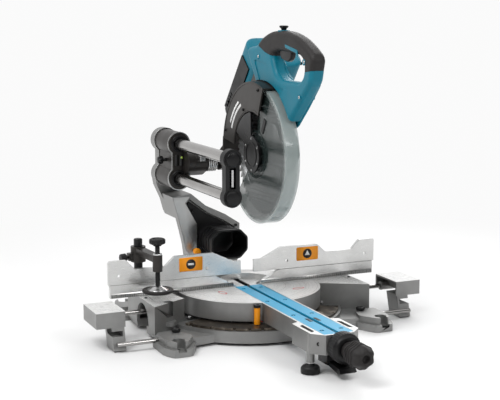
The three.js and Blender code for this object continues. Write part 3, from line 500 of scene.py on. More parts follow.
def brushed_finish(name, colour, stretch, roughness=(0.2, 0.34), scale=60, **more):
    """Ground or brushed metal with a grain drawn out along one direction."""
    material = base_finish(name, colour, roughness[0], 1.0, **more)
    grain = noise(material, object_place(material, stretch), scale, 4.0)
    slow = noise(material, object_place(material), 14, 3.0)
    dark = tuple(c * 0.86 for c in colour)
    wire(material, ramp(material, slow, [(0.3, dark), (0.7, colour)]),
         lit(material).inputs["Base Color"])
    wire(material, remap(material, grain, *roughness, 0.3, 0.7),
         lit(material).inputs["Roughness"])
    bumped(material, [(grain, 0.1, 0.02)])
    return material


def moulded_finish(name, colour, roughness, texture=1400, strength=0.25, spread=0.05, **more):
    """Moulded plastic with a spark-eroded texture and faint colour variation."""
    material = base_finish(name, colour, roughness, **more)
    place = object_place(material)
    varied(material, place, colour, spread, 30, (roughness - 0.04, roughness + 0.08))
    skin = noise(material, place, texture, 2.0)
    waves = noise(material, place, 120, 1.0)
    bumped(material, [(skin, strength, 0.06), (waves, 0.08, 0.15)])
    return material


def worn_plate_finish(name):
    """Dark etched plate, rubbed bright in places."""
    material = base_finish(name, (0.1, 0.09, 0.075), 0.35, 0.8)
    place = object_place(material)
    rub = noise(material, place, 70, 6.0, 0.65)
    wire(material, ramp(material, rub, [(0.35, (0.05, 0.042, 0.034)), (0.55, (0.12, 0.1, 0.08)),
                                        (0.75, (0.4, 0.36, 0.3))]),
         lit(material).inputs["Base Color"])
    wire(material, remap(material, rub, 0.25, 0.5, 0.3, 0.7), lit(material).inputs["Roughness"])
    bumped(material, [(noise(material, place, 900, 2.0), 0.2, 0.05)])
    return material


def clear_finish(name):
    """Clear moulding, frosted along the rim, with faint flow ripples; inside the rim its colour is
    near black, painted shade of the dark interior seen through it.
    """
    material = base_finish(name, (0.5, 0.56, 0.55), 0.1, 0.0, Coat_Weight=0.5)
    place = object_place(material)
    haze = noise(material, place, 28, 3.0)
    wire(material, remap(material, haze, 0.06, 0.22, 0.35, 0.7),
         lit(material).inputs["Roughness"])
    split = add_node(material, "ShaderNodeSeparateXYZ")
    wire(material, place, split.inputs[0])
    across = add_node(material, "ShaderNodeCombineXYZ")
    wire(material, split.outputs["Y"], across.inputs["Y"])
    wire(material, split.outputs["Z"], across.inputs["Z"])
    reach = add_node(material, "ShaderNodeVectorMath")
    reach.operation = "DISTANCE"
    wire(material, across.outputs[0], reach.inputs[0])
    reach.inputs[1].default_value = (0, ARBOR.y * MM, ARBOR.z * MM)
    frost = remap(material, reach.outputs["Value"], 0, 1, 136 * MM, 146 * MM)
    # near black inside 136 mm is painted shade of the blade and case behind the guard; the lighter
    # colour past 146 mm is the frosted rim
    painted_shade_and_frost = mix(material, frost, (0.03, 0.045, 0.043), (0.42, 0.48, 0.47))
    wire(material, painted_shade_and_frost, lit(material).inputs["Base Color"])
    facing = add_node(material, "ShaderNodeLayerWeight", Blend=0.35)
    edge = remap(material, facing.outputs["Facing"], 0.34, 0.75)
    cloudy = material.node_tree.nodes.new("ShaderNodeMix")
    cloudy.inputs[3].default_value = 0.55
    wire(material, frost, cloudy.inputs[0])
    wire(material, edge, cloudy.inputs[2])
    wire(material, cloudy.outputs[0], lit(material).inputs["Alpha"])
    bumped(material, [(noise(material, place, 35, 1.0), 0.12, 0.6)])
    return material


def make_finishes(colours):
    """Every finish of the saw, made once from the colours the panel holds."""
    teal = tuple(colours.body)
    charcoal = tuple(colours.charcoal)
    silver = (0.78, 0.78, 0.77)
    cast = (0.3, 0.3, 0.295)
    cast_finish("cast_aluminium", cast, 0.75, 0.44)
    table_finish("table_casting", cast, silver, TABLE_TOP)
    table_finish("turntable_casting", cast, silver, TABLE_TOP, concentric=True)
    brushed_finish("machined_aluminium", silver, (1, 30, 30), (0.24, 0.4))
    brushed_finish("milled_face", (0.58, 0.58, 0.57), (6, 6, 1), (0.3, 0.42))
    brushed_finish("ground_steel", (0.62, 0.62, 0.62), (1, 1, 12))
    brushed_finish("hard_chrome", (0.42, 0.41, 0.4), (30, 1, 30), (0.12, 0.22))
    brushed_finish("blade_steel", (0.17, 0.17, 0.17), (1, 12, 12), (0.26, 0.4))
    cast_finish("charcoal_casting", charcoal, 0.55, 0.36)
    moulded_finish("black_moulding", (0.008, 0.008, 0.0085), 0.42, Specular_IOR_Level=0.32)
    moulded_finish("satin_black", (0.006, 0.006, 0.0065), 0.3, strength=0.12,
                    Specular_IOR_Level=0.32)
    moulded_finish("soft_rubber", (0.018, 0.016, 0.0155), 0.55, 2200, 0.3,
                    Specular_IOR_Level=0.34)
    moulded_finish("teal_moulding", teal, 0.4, 1800, 0.16, 0.04, Specular_IOR_Level=0.3)
    moulded_finish("cyan_moulding", tuple(colours.kerf), 0.38, 1600, 0.2)
    moulded_finish("orange_moulding", tuple(colours.accent), 0.42, 1600, 0.2)
    moulded_finish("label_film", tuple(colours.accent), 0.34, 500, 0.05, 0.02)
    moulded_finish("label_black", (0.012, 0.012, 0.012), 0.4, 500, 0.05, 0.02)
    moulded_finish("label_white", (0.85, 0.85, 0.84), 0.4, 500, 0.05, 0.02)
    moulded_finish("label_red", (0.62, 0.03, 0.03), 0.4, 500, 0.05, 0.02)
    moulded_finish("vial_green", (0.55, 0.8, 0.12), 0.2, 500, 0.05, 0.02, Coat_Weight=0.5)
    moulded_finish("carbide_tip", (0.2, 0.19, 0.17), 0.35, 900, 0.2, 0.1, Metallic=0.9)
    worn_plate_finish("etched_plate")
    clear_finish("clear_guard")


def coat(thing, finish):
    """Gives a piece one of the finishes."""
    material = bpy.data.materials[finish]
    thing.data.materials.clear()
    thing.data.materials.append(material)
    return thing


def piece(thing, body, finish, edge=0.0, replaces=(), segments=2):
    """Finishes a new piece: its material, its rounded edges and the body it moves with."""
    coat(thing, finish)
    if edge:
        softened(thing, edge, segments)
    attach(thing, body)
    if replaces:
        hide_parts(*replaces)
    return thing


def kept(node, finish, edge=0.6, segments=2):
    """A frame node that stays: its finish and its rounded edges."""
    thing = frame["nodes"][node]
    custom = thing.data.attributes.get("custom_normal")
    if custom:
        thing.data.attributes.remove(custom)
    thing.data.polygons.foreach_set("use_smooth", [True] * len(thing.data.polygons))
    coat(thing, finish)
    if edge:
        softened(thing, edge, segments)
    return thing


def screw_head(name, axis, centre, face, out, radius=4.0, socket=2.2):
    """Cap screw: a domed head with a round socket; face is where it sits, out is +1 or -1."""
    high = 0.7 * radius
    head = lathe(name, axis, [
        (0, face), (radius, face), (radius, face + out * high * 0.75),
        (radius * 0.86, face + out * high), (socket, face + out * high),
        (socket, face + out * high * 0.4), (0, face + out * high * 0.4),
    ], centre, 36)
    return head


def thumb_screw(name, node, body, axis, centre, stem, profile, ribs, finish="black_moulding"):
    """Ribbed knob on a stem in place of a node; stem is (radius, from, to)."""
    radius, a, b = stem
    shaft = lathe("stem", axis, [(0, a), (radius, a), (radius, b), (0, b)], centre, 24)
    knob = lathe("knob", axis, profile, centre, 96, ribs=ribs)
    piece(merged(name, shaft, knob), body, finish, replaces=(node,))


# ---------------------------------------------------------------- base

def build_base():
    kept("base_casting", "table_casting", 1.2)
    kept("mitre_scale", "etched_plate", 0.3)
    kept("turntable_pivot_bolt", "ground_steel", 0.5)
    kept("vise_post", "satin_black", 0.8)

    high = span("mitre_scale")[1]
    mark, inset = 0.12, 26  # height of the marks, and how far in from the plate's side they start
    for long, every in ((4.0, 1), (7.5, 5)):
        places = []
        for degrees in range(-62, 63, every):
            x, y = polar((0, 0), high.x - inset - long / 2, degrees - 90)
            turn = Matrix.Rotation(math.radians(degrees), 3, "Z")
            places.append(((x, y, high.z + mark / 2), (0.5, long, mark), turn))
        piece(blocks(f"scale_marks_{every}", places), "base", "label_white")
    for side, name in SIDES:
        piece(screw_head(f"scale_screw_{name}", "z", (side * 160, -52), high.z, 1, 5, 2.6),
              "base", "ground_steel", 0.3)
        seam = box(f"table_seam_{name}", (min(side * 238.0, side * 238.7), -40, TABLE_TOP),
                   (max(side * 238.0, side * 238.7), 60, TABLE_TOP + 0.08))
        piece(seam, "base", "label_black")
        for k, (x, y) in enumerate(((247, -20), (247, 40))):
            piece(screw_head(f"table_screw_{name}_{k}", "z", (side * x, y), TABLE_TOP - 0.2, 1,
                             3.2, 1.7), "base", "satin_black", 0.2)


def build_turntable():
    kept("turntable", "turntable_casting", 1.0)
    for side in ("left", "right"):
        kept(f"kerf_board_{side}", "cyan_moulding", 0.35)
    kept("rear_insert", "black_moulding", 0.3)
    kept("stop_pin_sleeve", "orange_moulding", 0.4)
    kept("tilt_shaft", "ground_steel", 0.5)
    kept("lock_lever", "satin_black", 1.5)

    low, high = span("stop_pin_cap")
    centre = ((low.x + high.x) / 2, (low.y + high.y) / 2)
    top = high.z
    piece(lathe("stop_pin_knob", "z", [
        (0, top - 6.6), (7.4, top - 6.6), (7.5, top - 5.8), (7.5, top - 1.6), (6.6, top - 0.4),
        (4.5, top), (4.1, top - 1), (0, top - 1),
    ], centre, 96, ribs=(24, 0.5, 7.3)), "stop_pin", "satin_black", replaces=("stop_pin_cap",))

    low, high = span("kerf_board_right")
    for side, name in SIDES:
        edge = side * (high.x + 0.1)
        piece(box(f"board_edge_{name}", (min(edge, edge + side * 1.6), low.y, TABLE_TOP - 0.4),
                  (max(edge, edge + side * 1.6), high.y, TABLE_TOP + 0.15)),
              "turntable", "milled_face")
        for k, share in enumerate((0.06, 0.35, 0.64, 0.93)):
            piece(screw_head(f"board_screw_{name}_{k}", "z", (side * 21, share * low.y),
                             high.z - 3.6, 1, 3.4, 1.4), "turntable", "ground_steel", 0.2)
        # a flush black patch on each board stands for a notch: painted shade for the notch's depth
        piece(slab(f"board_notch_{name}", "z",
                   rounded([(side * 5.5, low.y + 96), (side * 13, low.y + 96),
                            (side * 13, low.y + 122), (side * 5.5, low.y + 122)], 3),
                   high.z - 0.05, high.z + 0.12), "turntable", "label_black")
    for radius in (86, 157):
        ring = slab(f"turned_line_{radius}", "z", ring_outline((0, 0), radius, 96),
                    TABLE_TOP - 0.02, TABLE_TOP + 0.07, [ring_outline((0, 0), radius - 0.5, 96)])
        gap = box("gap", (-36, -200, TABLE_TOP - 2), (36, 70, TABLE_TOP + 2))
        piece(carved(ring, gap), "turntable", "etched_plate")
    for k, (x, y, turn) in enumerate(((-78, -42, 30), (92, -72, -25))):
        oval = [(x + 15 * math.cos(a) * math.cos(turn) - 7 * math.sin(a) * math.sin(turn),
                 y + 15 * math.cos(a) * math.sin(turn) + 7 * math.sin(a) * math.cos(turn))
                for a in [math.tau * i / 40 for i in range(40)]]
        inner = [(x + (u - x) * 0.82, y + (v - y) * 0.72) for u, v in oval]
        piece(slab(f"warning_oval_{k}", "z", oval, TABLE_TOP, TABLE_TOP + 0.12, [inner]),
              "turntable", "label_red")
    # pointer that reads the mitre scale
    end = span("turntable")[0].y
    piece(slab("scale_pointer", "z", [(-43, -156), (-39, -157), (-39.5, -169)], 41.8, 42.6),
          "turntable", "label_red")
    for side, name in SIDES:
        piece(screw_head(f"end_screw_{name}", "y", (side * 40, 62), end + 12.5, -1, 4, 2),
              "turntable", "satin_black", 0.3)


def build_front_grip():
    low, high = span("grip_collar")
    x, z = GRIP_AXIS.x, GRIP_AXIS.z
    back, front = high.y, low.y
    piece(lathe("grip_collar_ring", "y", [
        (7, back), (27, back), (28.5, back - 2), (31, back - 10), (31, back - 26),
        (29.5, back - 28), (25.5, back - 29.5), (25.5, back - 32), (23, back - 33.3), (7, front),
    ], (x, z), 144, closed=True, ribs=(36, 1.0, 30.5)), "turntable", "black_moulding",
        replaces=("grip_collar",))
    low, high = span("mitre_grip")
    front = low.y
    shaft = lathe("shaft", "y", [(0, front + 50), (6, front + 50), (6, high.y), (0, high.y)],
                  (x, z), 32)
    neck = lathe("neck", "y", [
        (0, front + 50), (15.5, front + 50), (17, front + 54), (17, front + 67),
        (15, front + 68.2), (0, front + 68.2)], (x, z), 72)
    handle = lathe("mitre_grip_handle", "y", [
        (0, front + 11), (7, front + 11), (7.6, front + 3), (9.5, front + 0.6),
        (13.5, front + 0.4), (18, front + 3), (21.5, front + 8), (23.5, front + 14),
        (24.6, front + 24), (24.2, front + 34), (22.6, front + 46), (20.8, front + 55),
        (19.6, front + 58), (0, front + 58),
    ], (x, z), 96, ribs=(6, 2.6, 17.5))
    bands = []
    for k in range(4):
        along = front + 20 + 8 * k
        out = 25.6 - 0.14 * k * k  # the grip narrows towards the table
        bands.append(lathe(f"band_{k}", "y", [
            (20, along), (out, along), (out + 0.3, along + 1.2), (out, along + 2.4),
            (20, along + 2.4)], (x, z), 96, closed=True, ribs=(6, 2.6, 21)))
    piece(merged("mitre_grip_handle", shaft, neck, handle, *bands), "mitre_grip",
          "soft_rubber", replaces=("mitre_grip",))

    low, high = span("foot_bolt")
    x, y = FOOT_BOLT.x, FOOT_BOLT.y
    piece(threaded("foot_thread", "z", 4, 2, 12, high.z, (x, y)), "foot_bolt", "ground_steel")
    piece(lathe("foot_pad", "z", [
        (0, 0), (17.5, 0), (18.8, 0.8), (19, 2), (19, 9.5), (18.2, 11.5), (16, 14), (14.5, 14.8),
        (8, 15), (7.2, 17), (4.6, 17.5), (0, 17.5),
    ], (x, y), 96, ribs=(30, 0.6, 18.9)), "foot_bolt", "black_moulding",
        replaces=("foot_bolt",))
    piece(lathe("foot_nut", "z", [(4.2, 19), (7, 19), (7.5, 19.6), (7.5, 21.4), (4.2, 21.4)],
                (x, y), 6, closed=True), "foot_bolt", "ground_steel", 0.4)


def label(name, body, face, low, high, glyph):
    """Orange label on a face that looks to the operator, with a plain round sign."""
    (x0, z0), (x1, z1) = low, high
    film, sign, mark = 0.35, 0.55, 0.7  # how far each layer stands out
    outline = rectangle(x0, z0, x1, z1, 3)
    piece(slab(f"{name}_film", "y", outline, face - film, face + 0.05), body, "label_film")
    middle = (x0 + x1) / 2, (z0 + z1) / 2
    radius = (z1 - z0) * 0.36
    piece(slab(f"{name}_sign", "y", ring_outline(middle, radius, 48), face - sign, face - 0.3),
          body, "label_black")
    if glyph == "bar":
        shape = rectangle(middle[0] - radius * 0.62, middle[1] - radius * 0.2,
                          middle[0] + radius * 0.62, middle[1] + radius * 0.2)
    else:
        shape = [polar(middle, radius * 0.66, angle) for angle in (90, 210, 330)]
    piece(slab(f"{name}_glyph", "y", shape, face - mark, face - 0.5), body, "label_white")


def build_fences():
    kept("guide_fence", "machined_aluminium", 0.5)
    for side in ("left", "right"):
        kept(f"sliding_fence_{side}", "machined_aluminium", 0.5)
    low, high = span("sliding_fence_left")
    label("left_label", "sliding_fence_left", low.y, (-163, 126), (-108, 157), "bar")
    label("right_label", "sliding_fence_right", low.y, (122, 126), (177, 157), "triangle")

    low, high = span("guide_fence")
    strip = TABLE_TOP + 1.2
    first, pitch, marks = 36, 5, 57  # the rule's first mark, its step in millimetres, its count
    for side, name in SIDES:
        x0, x1 = sorted((side * 34, side * (high.x - 2)))
        piece(box(f"rule_{name}", (x0, -0.25, strip), (x1, 0.05, strip + 9)),
              "base", "milled_face")
        places = []
        for k in range(marks):
            tall = 6.5 if k % 2 == 0 else 3.6
            places.append(((side * (first + pitch * k), -0.3, strip + tall / 2), (0.7, 0.15, tall),
                           Matrix.Identity(3)))
        piece(blocks(f"rule_marks_{name}", places), "base", "label_black")
        top = high.z
        piece(box(f"fence_lip_{name}", (min(side * 80, side * high.x), 0.2, top - 0.9),
                  (max(side * 80, side * high.x), 2.4, top + 0.15)), "base", "etched_plate")
        for k, (x, y) in enumerate(((96, 24), (140, 22))):
            piece(screw_head(f"fence_bolt_{name}_{k}", "z", (side * x, y), TABLE_TOP + 7.3, 1,
                             6, 3), "base", "satin_black", 0.4)
        clamp = f"fence_clamp_{name}"
        thumb_screw(f"fence_clamp_knob_{name}", clamp, clamp, "y", (side * 190, 95),
                    (4, span(clamp)[0].y, 21), [
                        (0, 20), (9, 20), (11.4, 21.5), (12, 24), (12, 29.5), (10.6, 31.6),
                        (6, 32), (5.2, 31), (0, 31)], (8, 2.4, 10))


def build_wings():
    for side, name in SIDES:
        kept(f"wing_{name}", "table_casting", 0.8)
        kept(f"wing_front_rod_{name}", "hard_chrome", 0.5)
        kept(f"wing_rear_rod_{name}", "hard_chrome", 0.5)
        low, high = span(f"wing_lock_knob_{name}")
        centre = ((low.x + high.x) / 2, (low.y + high.y) / 2)
        knob = f"wing_lock_knob_{name}"
        thumb_screw(f"wing_knob_{name}", knob, knob, "z", centre, (2.8, low.z, high.z - 7), [
            (0, high.z - 7.8), (8, high.z - 7.8), (9.2, high.z - 6.6), (10, high.z - 3),
            (9.6, high.z - 0.8), (7, high.z), (4.2, high.z), (3.8, high.z - 1),
            (0, high.z - 1)], (6, 1.8, 8.5))
        low, high = span(f"wing_{name}")
        inner = min(abs(low.x), abs(high.x))
        x0, x1 = sorted((side * (inner + 4), side * (inner + 29)))
        piece(box(f"wing_foot_{name}", (x0, low.y + 1.5, 0.4), (x1, low.y + 45, 2.4)),
              f"wing_{name}", "soft_rubber", 0.5)


def build_vise():
    kept("vise_arm", "charcoal_casting", 0.8)
    kept("vise_thumb_screw", "black_moulding", 0.5)
    low, high = span("vise_screw")
    x, y = SCREW.x, SCREW.y
    piece(threaded("vise_thread", "z", 5.5, 3, low.z, high.z, (x, y), 0.9, 28), "vise_screw",
          "satin_black", replaces=("vise_screw",))
    top = span("vise_knob")[1].z
    piece(lathe("vise_knob_wheel", "z", [
        (6.2, top - 16), (8.5, top - 16), (9.2, top - 14), (12, top - 13), (16.5, top - 11),
        (17.5, top - 9.5), (17.5, top - 4), (16.6, top - 1.8), (14, top - 0.4), (11, top),
        (9, top - 1.2), (0, top - 1.2), (0, top - 12), (6.2, top - 12),
    ], (x, y), 144, closed=False, ribs=(18, 1.3, 16)), "vise_screw", "black_moulding",
        replaces=("vise_knob",))
    arm_top = span("vise_arm")[1].z
    piece(lathe("vise_nut", "z", [
        (6.6, arm_top - 0.6), (10, arm_top - 0.6), (10, arm_top + 2.2), (9.2, arm_top + 2.8),
        (6.6, arm_top + 2.8)], (x, y), 6, closed=True), "vise_arm", "ground_steel", 0.5)
    low, high = span("vise_pad")
    base = low.z
    piece(lathe("vise_pad_rim", "z", [
        (0, base), (30, base), (32.2, base + 1), (33, base + 3), (33, base + 6),
        (31.5, base + 7.4), (28, base + 7.4), (23, base + 5.6), (0, base + 5.6),
    ], (x, y), 96), "vise_pad", "soft_rubber", replaces=("vise_pad",))
    piece(lathe("vise_pad_cone", "z", [
        (0, base + 5.7), (22.6, base + 5.7), (23.4, base + 6.4), (21, base + 7.6),
        (10.5, base + 13), (8.6, base + 14.6), (0, base + 14.9)], (x, y), 96),
        "vise_pad", "ground_steel")
    post = span("vise_post")[1].z
    piece(lathe("post_cap", "z", [
        (0, post - 0.5), (9.2, post - 0.5), (9.2, post + 0.8), (7.6, post + 1.8), (0, post + 2)],
        (POST.x, POST.y), 48), "base", "satin_black")


# ---------------------------------------------------------------- tilting arm and carriage

def figure_eight(radius, waist):
    """Outline round the two rails: two circles joined by a waist."""
    open_angle = math.degrees(math.acos(waist / radius))
    return (arc((RAIL_X, RAIL_HIGH), radius, -open_angle, 180 + open_angle, 40)
            + arc((RAIL_X, RAIL_LOW), radius, 180 - open_angle, 360 + open_angle, 40))


def octagon(half, height, centre):
    cut_off = half * 0.42
    u, v = centre
    return [(u + x, v + z) for x, z in (
        (-half, -height + cut_off), (-half + cut_off, -height), (half - cut_off, -height),
        (half, -height + cut_off), (half, height - cut_off), (half - cut_off, height),
        (-half + cut_off, height), (-half, height - cut_off))]


def build_arm():
    kept("arm_casting", "cast_aluminium", 1.2)
    kept("arm_cover", "black_moulding", 0.8)
    kept("rail_upper", "hard_chrome", 0.8)
    kept("rail_lower", "hard_chrome", 0.8)
    kept("tilt_lock_bar", "ground_steel", 0.6)
    kept("rail_end_cap", "black_moulding", 1.2)

    front, back = span("arm_casting")[0].y, span("arm_casting")[1].y
    outer = [(-59, 110), (-79.5, 136), (-89, 179), (-99, 218), (-107, 247), (-110.5, 261),
             (-69, 261)]
    inner = [(-81, 247), (-53.6, 197), (-53.6, 110)]
    rim = slab("arm_machined_rim", "y", outer + inner, front - 0.4, front + 0.3, edge=0.15)
    piece(rim, "tilting_arm", "milled_face")

    hood_low, hood_high = span("dust_hood")
    centre = ((hood_low.x + hood_high.x) / 2, (hood_low.z + hood_high.z) / 2)
    half, height = (hood_high.x - hood_low.x) / 2, (hood_high.z - hood_low.z) / 2
    duct = slab("duct", "y", rounded(octagon(half - 1.5, height - 1.5, centre), 5),
                hood_low.y + 0.6, hood_high.y,
                [rounded(octagon(half - 3.5, height - 3.5, centre), 5)], 0.4)
    lip = slab("lip", "y", rounded(octagon(half + 0.6, height + 0.6, centre), 5),
               hood_low.y, hood_low.y + 7,
               [rounded(octagon(half - 3.5, height - 3.5, centre), 5)], 1.0)
    bands = [slab(f"band_{k}", "y", rounded(octagon(half, height, centre), 5),
                  hood_low.y + 22 + 16 * k, hood_low.y + 25 + 16 * k,
                  [rounded(octagon(half - 3.0, height - 3.0, centre), 5)], 0.4)
             for k in range(3)]
    piece(merged("dust_duct", duct, lip, *bands), "tilting_arm", "black_moulding",
          replaces=("dust_hood",))

    low, high = span("tilt_release")
    centre = ((low.x + high.x) / 2, (low.z + high.z) / 2)
    knob = lathe("release_knob", "y", [
        (0, low.y), (6.5, low.y), (8.2, low.y + 1.4), (8.5, low.y + 4), (8.5, low.y + 10),
        (7.4, low.y + 12.4), (6, low.y + 13), (6, low.y + 18), (0, low.y + 18)],
        centre, 96, ribs=(10, 1.1, 8.3))
    piece(knob, "tilt_release", "orange_moulding", replaces=("tilt_release",))
    piece(lathe("release_rod", "y", [
        (0, low.y + 17), (3.2, low.y + 17), (3.2, high.y), (0, high.y)], centre, 32),
        "tilt_release", "hard_chrome")

    seam = back - 26.5  # joint line of the rail holder, in from its back
    piece(slab("holder_seam", "y", figure_eight(29.5, 18.6), seam - 0.2, seam + 1.6,
               [figure_eight(27.6, 16.8)], 0.3), "tilting_arm", "milled_face")
    cap_front = span("rail_end_cap")[0].y
    cap_back = span("rail_end_cap")[1].y
    for name, z in RAILS:
        piece(lathe(f"rail_plug_{name}", "y", [
            (0, cap_front - 1.2), (12.5, cap_front - 1.2), (14.6, cap_front - 0.4),
            (15.2, cap_front + 1), (0, cap_front + 1)], (RAIL_X, z), 64),
            "tilting_arm", "satin_black")
        piece(lathe(f"rail_ring_{name}", "y", [
            (12.8, cap_back - 0.6), (17, cap_back - 0.6), (17, cap_back + 1.4),
            (15.8, cap_back + 2.4), (12.8, cap_back + 2.4)],
            (RAIL_X, z), 64, closed=True), "tilting_arm", "satin_black")
    for name, z in RAILS:
        piece(lathe(f"rail_seat_{name}", "y", [
            (0, back + 0.6), (9, back + 0.6), (9.6, back), (12, back), (12.6, back + 1.2),
            (19, back + 1.2), (20, back - 1), (0, back - 1)], (RAIL_X, z), 64),
            "tilting_arm", "charcoal_casting")
    x, z = TILT_AXIS.x, TILT_AXIS.z
    piece(slab("bevel_plate", "y", sector((x, z), 45.5, 31, 28, 152, 40), back - 0.2, back + 0.9),
          "tilting_arm", "etched_plate", 0.2)
    piece(lathe("tilt_nut", "y", [
        (0, back - 1), (14, back - 1), (14, back + 6), (12.6, back + 7.6), (7.6, back + 7.6),
        (7, back + 5), (0, back + 5)], (x, z), 6), "tilting_arm", "ground_steel", 0.6)
    for k, degrees in enumerate((205, 335)):
        piece(screw_head(f"bevel_stop_{k}", "y", polar((x, z), 37, degrees), back, 1, 5, 2.6),
              "tilting_arm", "satin_black", 0.4)
    for k, (sx, sz) in enumerate(((-60, 226), (47, 186), (-40, 140), (50, 120))):
        piece(screw_head(f"arm_screw_{k}", "y", (sx, sz), front, -1, 3.6, 1.9),
              "tilting_arm", "satin_black", 0.25)


def build_carriage():
    kept("carriage_housing", "charcoal_casting", 1.2)
    kept("chop_shaft", "ground_steel", 0.4)
    bracket = 42  # how far the pivot bracket reaches in front of the holder's face
    face = span("carriage_housing")[0].y + bracket
    piece(slab("carriage_edge", "y", figure_eight(27.9, 17.9), face - 0.4, face + 1.4,
               [figure_eight(25.4, 15.4)], 0.3), "carriage", "milled_face")
    for name, z in RAILS:
        piece(lathe(f"rail_wiper_{name}", "y", [
            (13.3, face - 2.2), (17.5, face - 2.2), (19, face - 1), (19, face + 1),
            (13.3, face + 1)], (RAIL_X, z), 64, closed=True), "carriage", "satin_black")
    for k, (x0, x1) in enumerate(((RAIL_X - 10, RAIL_X - 1), (RAIL_X + 1.5, RAIL_X + 11))):
        piece(slab(f"level_window_{k}", "y", rectangle(x0, 337, x1, 362, 1.5), face - 0.6,
                   face + 0.1), "carriage", "label_black", 0)
    piece(lathe("level_vial", "y", [
        (0, face - 2.4), (1.8, face - 2.2), (2.8, face - 1.4), (3, face - 0.4), (0, face - 0.4)],
        (RAIL_X + 6.2, 356), 32), "carriage", "vial_green")

    low, high = span("slide_lock_screw")
    turn_axis = joint_place("slide_lock_turn")
    thumb_screw("slide_lock_knob", "slide_lock_screw", "slide_lock_screw", "x",
                (turn_axis.y, turn_axis.z), (4, low.x + 8, high.x), [
                    (0, low.x), (6, low.x), (8.8, low.x + 1.6), (9.8, low.x + 4),
                    (9.8, low.x + 9), (8.4, low.x + 11.6), (5.5, low.x + 12), (0, low.x + 12)],
                (5, 2.4, 8.5), "satin_black")

    turns, wire_radius, coil, pitch, start = 5, 1.7, 22.6, 4.4, -44
    points = [(start, PIVOT.y + coil, PIVOT.z + 14)]
    for k in range(turns * 24 + 1):
        angle = math.tau * k / 24
        points.append((start + pitch * k / 24, PIVOT.y + coil * math.cos(angle),
                       PIVOT.z + coil * math.sin(angle)))
    piece(rod("return_spring", points, wire_radius, 12), "carriage", "ground_steel")
    piece(lathe("pivot_washer", "x", [
        (8.5, -16.4), (17, -16.4), (17, -15.4), (8.5, -15.4)], (PIVOT.y, PIVOT.z), 48,
        closed=True), "carriage", "ground_steel")
    piece(screw_head("bracket_screw_top", "x", (PIVOT.y + 52, RAIL_HIGH - 18), -42, 1, 4.5, 2.4),
          "carriage", "satin_black", 0.3)
    piece(screw_head("bracket_screw_low", "x", (PIVOT.y + 52, RAIL_LOW + 20), -42, 1, 4.5, 2.4),
          "carriage", "satin_black", 0.3)
    latch = box("lowering_latch", (-70, PIVOT.y - 34, PIVOT.z + 4), (-56, PIVOT.y - 17,
                                                                     PIVOT.z + 16))
    piece(latch, "carriage", "ground_steel", 1.0)


# ---------------------------------------------------------------- saw head

def arbor_ring(name, outer, inner, a, b, finish, body, steps=72):
    piece(lathe(name, "x", [(inner, a), (outer, a), (outer, b), (inner, b)],
                (ARBOR.y, ARBOR.z), steps, closed=True), body, finish, 0.3)


def saw_blade():
    """Blade disc with carbide teeth, expansion slots and cooling slits."""
    centre = (ARBOR.y, ARBOR.z)
    radius = (span("saw_blade")[1].z - span("saw_blade")[0].z) / 2
    teeth = 60
    step = 360 / teeth
    outline = []
    for k in range(teeth):
        start = k * step
        outline += [polar(centre, radius - 0.4, start), polar(centre, radius - 1.4, start + 1.6),
                    polar(centre, radius - 3.2, start + 2.6)]
        outline += [polar(centre, radius - 8.2, start + 4.3), polar(centre, radius - 8.4,
                                                                     start + 5.2)]
    holes = [ring_outline(centre, 15, 48)]
    for k in range(6):
        base = k * 60 + 12
        outer = arc(centre, 96, base, base + 24, 12)
        inner = arc(centre, 93.6, base + 24, base, 12)
        holes.append(outer + inner)
        holes.append(ring_outline(polar(centre, 108, base + 38), 2.4, 16))
    disc = slab("blade_disc", "x", outline, -0.9, 0.9, holes)
    piece(disc, "blade", "blade_steel", replaces=("saw_blade",))
    places = []
    for k in range(teeth):
        y, z = polar(centre, radius - 3.4, k * step + 0.6)
        places.append(((0, y, z), (2.4, 6.4, 1.9),
                       Matrix.Rotation(math.radians(k * step - 10), 3, "X")))
    piece(blocks("blade_tips", places), "blade", "carbide_tip")


def build_blade():
    saw_blade()
    kept("spindle", "ground_steel", 0.3)
    kept("outer_flange", "ground_steel", 0.4)
    kept("arbor_bolt", "ground_steel", 0.4)
    kept("lower_guard", "clear_guard", 0.5)
    kept("blade_case", "charcoal_casting", 1.0)
    kept("centre_cover", "satin_black", 0.8)
    centre = (ARBOR.y, ARBOR.z)
    left = span("blade_case")[0].x
    for k, (outer, inner) in enumerate(((152.5, 150.6), (96, 94.2))):
        piece(slab(f"case_rib_{k}", "x", sector(centre, outer, inner, 12, 108, 64),
                   left - 0.8, left + 0.3, edge=0.35), "head", "charcoal_casting")
    for k, (degrees, radius) in enumerate(((104, 143), (66, 101), (16, 145))):
        piece(screw_head(f"case_screw_{k}", "x", polar(centre, radius, degrees), left, -1, 3.4,
                         1.8), "head", "satin_black", 0.25)
    for k, (start, end) in enumerate(((24, 62), (28, 58))):
        inner = 112 + 11 * k
        piece(slab(f"case_stripe_{k}", "x", sector(centre, inner + 6, inner, start, end, 24),
                   left - 0.25, left + 0.05), "head", "label_white")
    cover = span("centre_cover")[0].x
    for k in range(6):
        piece(screw_head(f"cover_screw_{k}", "x", polar(centre, 34, 60 * k + 30), cover + 1.4, -1, 2.6,
                         1.3), "head", "ground_steel", 0.2)
    arbor_ring("cover_ring", 28, 25, cover - 1.2, cover + 0.2, "satin_black", "head")
    arbor_ring("guard_hub_ring", 52, 46, -17.6, -15.8, "clear_guard", "lower_guard")
    piece(slab("guard_stop", "x", rounded([polar(centre, 60, 120), polar(centre, 92, 118),
                                           polar(centre, 92, 126), polar(centre, 60, 130)], 3),
               -17.8, -15.8, edge=0.4), "lower_guard", "satin_black")
    for k in range(9):
        start = 118 + 22 * k
        piece(slab(f"guard_bead_{k}", "x", sector(centre, 141, 138.6, start, start + 12, 10),
                   -17.0, -15.9, edge=0.3), "lower_guard", "clear_guard")


# corners of the motor with the head down
MOTOR_LOW = Vector((25, -118, 386))
MOTOR_HIGH = Vector((142, 82, 482))


